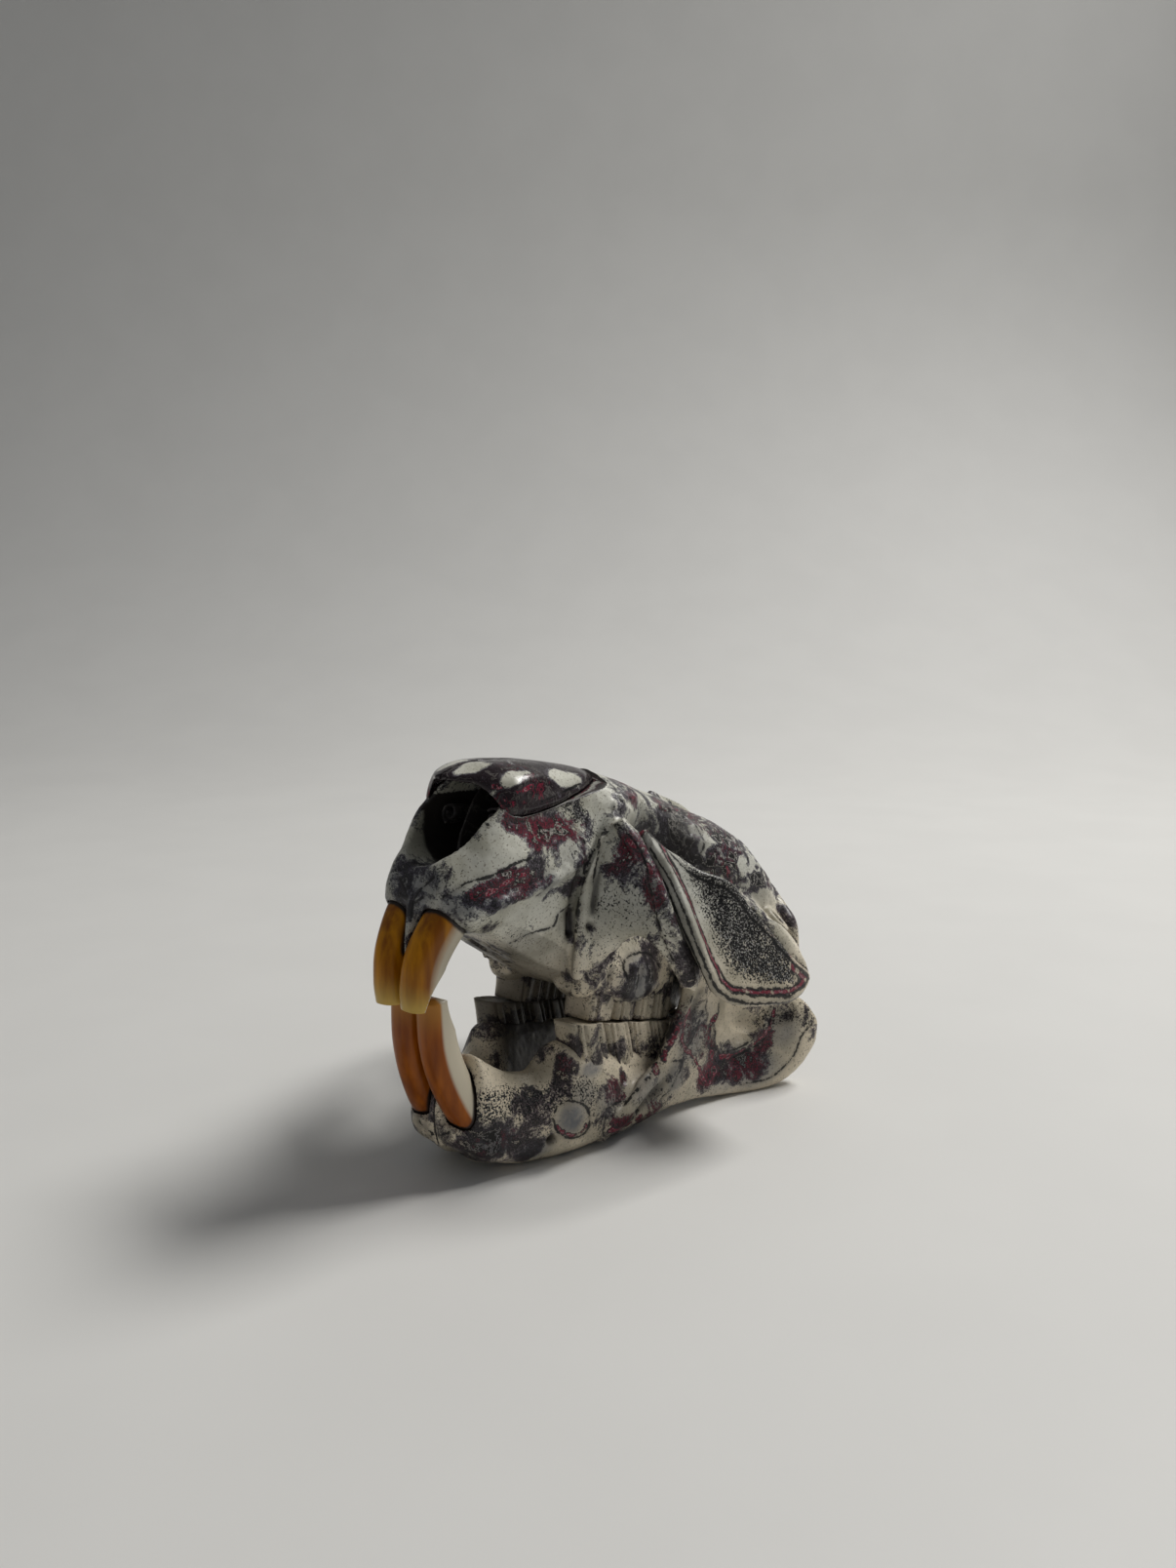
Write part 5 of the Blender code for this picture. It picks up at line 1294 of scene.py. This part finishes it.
def build_cranium():
    body = cranium()
    q = finish_relief(body, RIDGES + GROOVES, DEEP_PITS + PITS, 3)
    x, y, z = q.T
    push(body, 2.3 * sphere(q, *ROOT_DOME))
    # short cross folds in the band along the front of the cheek plate
    gap, along = near(q, PLATE_BAND)
    fold = np.sin(along * 150 + 2.0 * rough(q, 3.0, 61, 2)) * np.clip(1.6 - gap, 0, 1) * ease(along, 0, 1 / 6)
    push(body, 0.22 * fold)
    busy = ease(y, 74, 8) * ease(z, 30, 6)
    patinate(body, q, "cranium", HEAD_BASE, HEAD_HIDDEN, busy)
    # painted shade on the walls of the mouth, inside the nose, round the sockets' rims and in the seams
    stain_walls(body, q, 0.62)
    nose = ease(y, 12.3, 1.6) * (x < 10.9) * (z > 30) * (z < 54) * (y < 36) * (z < 44.5 + 0.22 * y)
    stain(body, 1.15 * nose)
    # a darker band along the front of the cheek plate, with painted shade deepest in the troughs of its folds
    stain(body, np.clip(1.8 - gap, 0, 1) * ease(along, 0, 1 / 6) * (0.35 - 0.3 * np.clip(fold, -1, 1)))
    stain_grooves(body, q, GROOVES)
    # painted shade inside the deep pits
    for centre, width, _ in DEEP_PITS:
        stain(body, 0.9 * bump(q, centre, 0.7 * width + 0.5))
    # painted shade round the edge of the bone at the upper front tooth's socket
    stain(body, 0.75 * np.exp(-(near(q, SOCKET_RIM)[0] / 1.3) ** 2))
    seats = both(blade("jugal_seat", JUGAL, rings=44, count=36, grow=GAP), incisor("upper", GAP))
    combine(body, seats + [nasal_seat()], "DIFFERENCE", "MANIFOLD")
    return keep_largest(body)


def build_mandible():
    body = mandible()
    q = finish_relief(body, JAW_RIDGES + JAW_GROOVES, JAW_PITS, 7)
    patinate(body, q, "mandible", JAW_BASE, JAW_HIDDEN)
    # painted shade on the walls of the mouth, in the grooves and in the mental hole
    stain_walls(body, q, 0.97, 39, 36, 3)
    stain_grooves(body, q, JAW_GROOVES, 0.9)
    stain(body, bump(q, MENTAL_HOLE, 1.4, 4))
    floor = block("floor", (-10, -10, -20), (60, 140, 0))
    midline = block("midline", (-60, -15, -25), (GAP / 2, 150, 80))
    combine(body, [floor, midline, incisor("lower", GAP)], "DIFFERENCE", "MANIFOLD")
    return keep_largest(body)


def even_ring(ring, count):
    """Points at even steps round a closed outline."""
    closed = np.vstack([ring, ring[:1]])
    run = np.concatenate([[0], np.cumsum(np.linalg.norm(np.diff(closed, axis=0), axis=1))])
    at = np.linspace(0, run[-1], count, endpoint=False)
    return np.column_stack([np.interp(at, run, closed[:, k]) for k in range(2)])


def build_nasal():
    """The left one of the two long bones that roof the nose."""
    rings = []
    for y, outline in rows(NASAL, 90):
        smooth = spline(outline, 65)
        smooth[:, 0] = np.maximum(smooth[:, 0], GAP / 2)
        rings.append([(x, y, z) for x, z in even_ring(smooth, 110)])
    obj = skin("nasal", rings)
    points = coords(obj)
    moves = np.zeros(len(points))
    raise_lines(points, moves, [
        ([(13.4, 17, 46.4), (13.2, 24, 48), (12.4, 32, 50.4), (11, 42, 54.6)], 0.8, 0.3, 0.2),
        ([(12.6, 16.6, 50), (11.4, 20, 53), (11, 27, 54.4)], 1.6, 0.3, 0.4),
        ([(0.4, 8, 53), (0.4, 20, 57.4), (0.4, 34, 59), (0.4, 48, 59.3)], 0.5, -0.3, 0.0)])
    moves += 0.08 * rough(points, 5.0, 11)
    inner = points[:, 0] < 0.5
    moves[inner] = np.minimum(moves[inner], 0)
    push(obj, moves)
    patinate(obj, coords(obj), "nasal", NASAL_BASE)
    return obj


def build_jugal():
    """The left cheek bone: a hollowed plate with a speckled middle and lined edges."""
    obj = blade("jugal", JUGAL, rings=110, count=110)
    points = coords(obj)
    top_edge = [(x, y, z) for y, x, z, *_ in JUGAL]
    low_edge = [(x, y, z) for y, _, _, x, z, _ in JUGAL]
    top, low = near(points, top_edge)[0], near(points, low_edge)[0]
    outer = np.clip(normals(obj)[:, 0] * 2, 0, 1)
    moves = -0.75 * outer * ease(np.minimum(top, low), 1.6, 3.5) + 0.08 * rough(points, 4.0, 21)
    raise_lines(points, moves, [(top_edge[2:], 1.3, 0.7, 0.3), (low_edge[3:], 1.0, 0.3, 0.4)])
    push(obj, moves)

    y = points[:, 1]
    wander = rough(points, 5.0, 5)
    border = np.minimum(low, np.where(y > 86, top, 99))    # distance to the lower and rear edges
    front = ease(y, 67, -9)
    start = 3.0 + 1.6 * front + 0.8 * wander
    speckle = ease(border, start, 2.6 + 6.0 * ease(y, 86, -18)) ** 0.6 * (1.08 + 0.2 * wander)
    streak = np.exp(-((top - 1.2) / 1.5) ** 2) * (y > 76) * (y < 92)
    write_layer(obj, "patina", np.column_stack([
        0.06 + 0.10 * np.clip(speckle, 0, 1), 0.85 * streak, np.maximum(1.1 * speckle, 0.14), 0 * y]))
    red = np.abs(border - 2.9 - 1.2 * front - 0.5 * wander)
    dark = np.minimum(np.abs(red - 0.72), np.abs(border - 0.8 - 0.2 * wander))
    store_lines(obj, np.minimum(dark, np.abs(top - 2.0 - 0.3 * wander)), red, 0.3 * front)
    return obj


def mark_incisor(obj, name, bones, matrix, tip_at, wrap):
    """Marks the worn tip, the white flanks and the painted shadow line where the tooth leaves the bone."""
    points, n = coords(obj), normals(obj)
    steps = 60
    middle = spline(INCISORS[name][0], steps)
    _, along = near(folded(points), middle)
    tangent = np.gradient(middle, axis=0)
    tangent /= np.linalg.norm(tangent, axis=1, keepdims=True)
    forward = np.cross(tangent[np.clip((along * (steps - 1)).astype(int), 0, steps - 1)], (1, 0, 0))
    forward *= -np.sign(forward[:, 1:2])
    front = np.einsum("ij,ij->i", n, forward)
    across = np.abs(points[:, 0]) - np.interp(along, np.linspace(0, 1, steps), middle[:, 0])
    flank = np.clip((wrap - front) / 0.6, 0, 1) * np.clip(0.55 + 0.35 * outward(obj) + 0.12 * across, 0, 1.2)
    tip = ease(along, tip_at, 1 - tip_at) ** 1.3
    # painted shadow where the tooth meets the bone
    rim = np.zeros(len(points))
    for i, point in enumerate(points):
        gap = bones.find_nearest(matrix @ Vector(point), 3.0)[3]
        if gap is not None:
            rim[i] = math.exp(-(gap / 1.1) ** 2)
    write_layer(obj, "patina", np.column_stack([tip, flank, rim, 0 * rim]))


def cheek_tooth(name, x, y, length, width, low, high, folds, seed):
    """A prismatic grinding tooth with enamel folds down its sides. Its worn surface is at low."""
    rng = np.random.default_rng(seed)
    count, levels, spacing, fold_width, fold_depth, wear = 96, 14, 0.46, 0.085, 0.13, 0.175
    t = np.linspace(0, 2 * math.pi, count, endpoint=False)
    across, back = oval(width / 2, (length - 0.45) / 2, 3.6, count)
    fold = np.zeros(count)
    for k in range(folds):
        for side in (0.0, math.pi):
            at = side + (k - (folds - 1) / 2) * spacing + rng.uniform(-0.05, 0.05)
            gap = np.abs((t - at + math.pi) % (2 * math.pi) - math.pi)
            fold += np.exp(-(gap / fold_width) ** 2)
    rings = []
    for u in np.linspace(0, 1, levels):
        swell = 1.0 + 0.05 * math.sin(3.0 * u)
        uneven = 1.0 + 0.012 * np.sin(5 * t + 9 * u + seed)
        scale = swell * (1.0 - fold * fold_depth) * uneven
        rings.append(np.column_stack([x + across * scale, y + back * scale, 0 * t + low + (high - low) * u]))
    inwards = math.copysign(1, high - low)
    centre = np.array([x, y, low])
    cap = centre + (rings[0] - centre) * 0.93 - (0, 0, 0.12 * inwards)
    dish = centre + (rings[0] - centre) * 0.6 + (0, 0, wear * inwards)
    return skin(name, [dish, cap, *rings])


def scroll(name, centre, size, turns, length, start):
    """A rolled sheet of thin bone inside the nose, from the angle start."""
    count, levels, thick, shrink, rise = 40, 14, 0.5, 0.35, 1.2
    t = np.linspace(0, 2 * math.pi * turns, count)
    spread = 0.25 + 0.75 * t / t[-1]
    ray = np.column_stack([np.cos(t + start), 0 * t, np.sin(t + start)])
    rings = []
    for u in np.linspace(0, 1, levels):
        radius = size * (1 - shrink * u) * spread * (1 + 0.05 * math.sin(9 * u))
        inner = centre + ray * radius[:, None] + (0, length * u, rise * u)
        rings.append([*inner, *(inner + thick * ray)[::-1]])
    return skin(name, rings)


def set_teeth(look):
    """The grinding teeth, set in the cranium and the jaw halves."""
    def finish(tooth, name, x, y, z, dark, node_name, matrix, inner_shade):
        # a darker patch at the grinding surface, a little painted shade all over, more on the sides that face
        # the mouth
        paint(tooth, coords(tooth), [((x, y, z), (12, 12, 3.5), (0.25, None, 0.3))], (dark, 0.0, 0.5, 0.2))
        stain_walls(tooth, coords(tooth), 0.75)
        settle_pair(tooth, name, look, node_name, matrix, inner_shade)

    for k, (front, length, width) in enumerate(UPPER_TEETH):
        x, y = 11.4 + 0.10 * (front - UPPER_TEETH[0][0]), front + length / 2
        tooth = cheek_tooth("upper", x, y, length, width + 0.5, 0.2, 11, 3, k)
        finish(tooth, f"upper_cheek_tooth_{k + 1}_{{}}", x, front, 3, 0.6, "cranium", HEAD, 0.68)
    for k, (front, length, width) in enumerate(LOWER_TEETH):
        x, y = 13.0 + 0.06 * (front - LOWER_TEETH[0][0]), front + length / 2
        top = TILT_PIVOT[1] - (y - TILT_PIVOT[0]) * TOOTH_SLOPE - 0.45
        tooth = cheek_tooth("lower", x, y, length, width + 0.5, top, 14, 4, 20 + k)
        points = coords(tooth)
        points[:, 2] -= (points[:, 1] - y) * TOOTH_SLOPE
        points[:, 1] += 0.22 * (top - points[:, 2])
        set_coords(tooth, points)
        finish(tooth, f"lower_cheek_tooth_{k + 1}_{{}}", x, y, top, 0.5, "mandible_{}", JAW, 0.86)


def fill_nose(look):
    """Two scrolls and the septum."""
    for side, x, start in (("right", -1, math.pi - 0.6), ("left", 1, 0.6)):
        piece = scroll("turbinate", (6.76 * x, 17.5, 44), 2.2, 1.3, 12, start)
        # the scroll, deep in the nose, carries painted shade
        paint(piece, coords(piece), [], (0.6, 0.0, 0.3, 0.72))
        settle(piece, f"turbinate_{side}", look, ["cranium"], HEAD)
    septum = box_loft("septum", "y", [
        (15, -0.35, 0.35, 30, 40), (19, -0.4, 0.4, 29, 50), (28, -0.5, 0.5, 29, 54),
        (34, -0.5, 0.5, 29, 54)], rings=30, count=40)
    # the septum, deepest in the nose, carries the most painted shade
    paint(septum, coords(septum), [], (0.8, 0.0, 0.3, 0.93))
    settle(septum, "septum", look, ["cranium"], HEAD)


def main():
    bone = bone_material("patinated_bone")
    cheek_bone = bone_material("patinated_cheek_bone", seed=13.0, loose=False)
    glossy = bone_material("patinated_nasal_bone", 0.2, 31.0, deep=0.8)
    settle(build_cranium(), "cranium_bone", bone, ["cranium"], HEAD)
    settle_pair(build_nasal(), "nasal_bone_{}", glossy, "nasal_{}", HEAD)
    settle_pair(build_jugal(), "jugal_bone_{}", cheek_bone, "jugal_{}", HEAD)
    settle_pair(build_mandible(), "mandible_bone_{}", bone, "mandible_{}", JAW)

    bones = search_tree([bpy.data.objects[name] for name in (
        "cranium_bone", "mandible_bone_left", "mandible_bone_right")])
    for name, matrix, colours, seed, tip_at, wrap in (
            ("upper", HEAD, UPPER_ENAMEL, 3.0, 0.7, 0.30), ("lower", JAW, LOWER_ENAMEL, 9.0, 0.72, 0.50)):
        enamel = enamel_material(f"{name}_enamel", *colours, seed)
        for tooth, side in zip(both(incisor(name)), ("left", "right")):
            mark_incisor(tooth, name, bones, matrix, tip_at, wrap)
            settle(tooth, f"{name}_incisor_{side}_enamel", enamel, [f"{name}_incisor_{side}"],
                   matrix)
    set_teeth(bone_material("grinding_teeth", 0.42, 57.0, False))
    fill_nose(bone_material("nose_lining", 0.45, 83.0, False))


def stage_and_light():
    scene = bpy.context.scene
    # a pale table that sweeps up into a wall, across the camera's view
    reach, sweep, near_edge, top, half_width = 560.0, 640.0, -1200.0, 2200.0, 2600
    profile = [(near_edge, 0.0)] + [(far, 0.0) for far in np.linspace(0, reach, 13)]
    profile += [(reach + sweep * math.sin(a), sweep - sweep * math.cos(a))
                for a in np.linspace(0.03, math.pi / 2, 60)]
    profile.append((reach + sweep, top))
    turn = Matrix.Rotation(math.radians(CAMERA_TURN[2]), 3, "Z")
    points = [turn @ Vector((side, far, up)) for far, up in profile for side in (-half_width, half_width)]
    faces = [(k - 2, k - 1, k + 1, k) for k in range(2, len(points), 2)]
    floor = mesh_object("floor", points, faces)
    floor.data.shade_smooth()
    floor.data.materials.append(table_material("pale_table", (0.74, 0.735, 0.715), 60.0, 0.012))

    # a window high behind the animal's left side, in metres
    light = bpy.data.lights.new("window_light", "AREA")
    light.shape = "RECTANGLE"
    light.size, light.size_y = 0.95, 0.42
    light.energy = 12.2
    light.color = (1.0, 0.985, 0.955)
    light.spread = math.radians(110)
    lamp = bpy.data.objects.new("window_light", light)
    scene.collection.objects.link(lamp)
    lamp.location = (0.50, 1.125, 1.58)
    skull_at = Vector((0.0, 0.0, 0.03))
    lamp.rotation_euler = (skull_at - lamp.location).to_track_quat("-Z", "Y").to_euler()
    scene.world = bpy.data.worlds.new("soft_room")
    scene.world.use_nodes = True
    feed(scene.world.node_tree, scene.world.node_tree.nodes["Background"],
         {"Color": (0.95, 0.97, 1.0, 1.0), "Strength": 0.155})

    camera = bpy.data.objects.new("camera", bpy.data.cameras.new("camera"))
    scene.collection.objects.link(camera)
    camera.location = (JAW @ Vector(CAMERA_AT)) * MM
    camera.rotation_euler = [math.radians(angle) for angle in CAMERA_TURN]
    camera.data.lens = LENS
    camera.data.sensor_width = SENSOR
    camera.data.clip_start = 0.005
    scene.camera = camera
    scene.view_settings.view_transform = "Standard"


main()
stage_and_light()
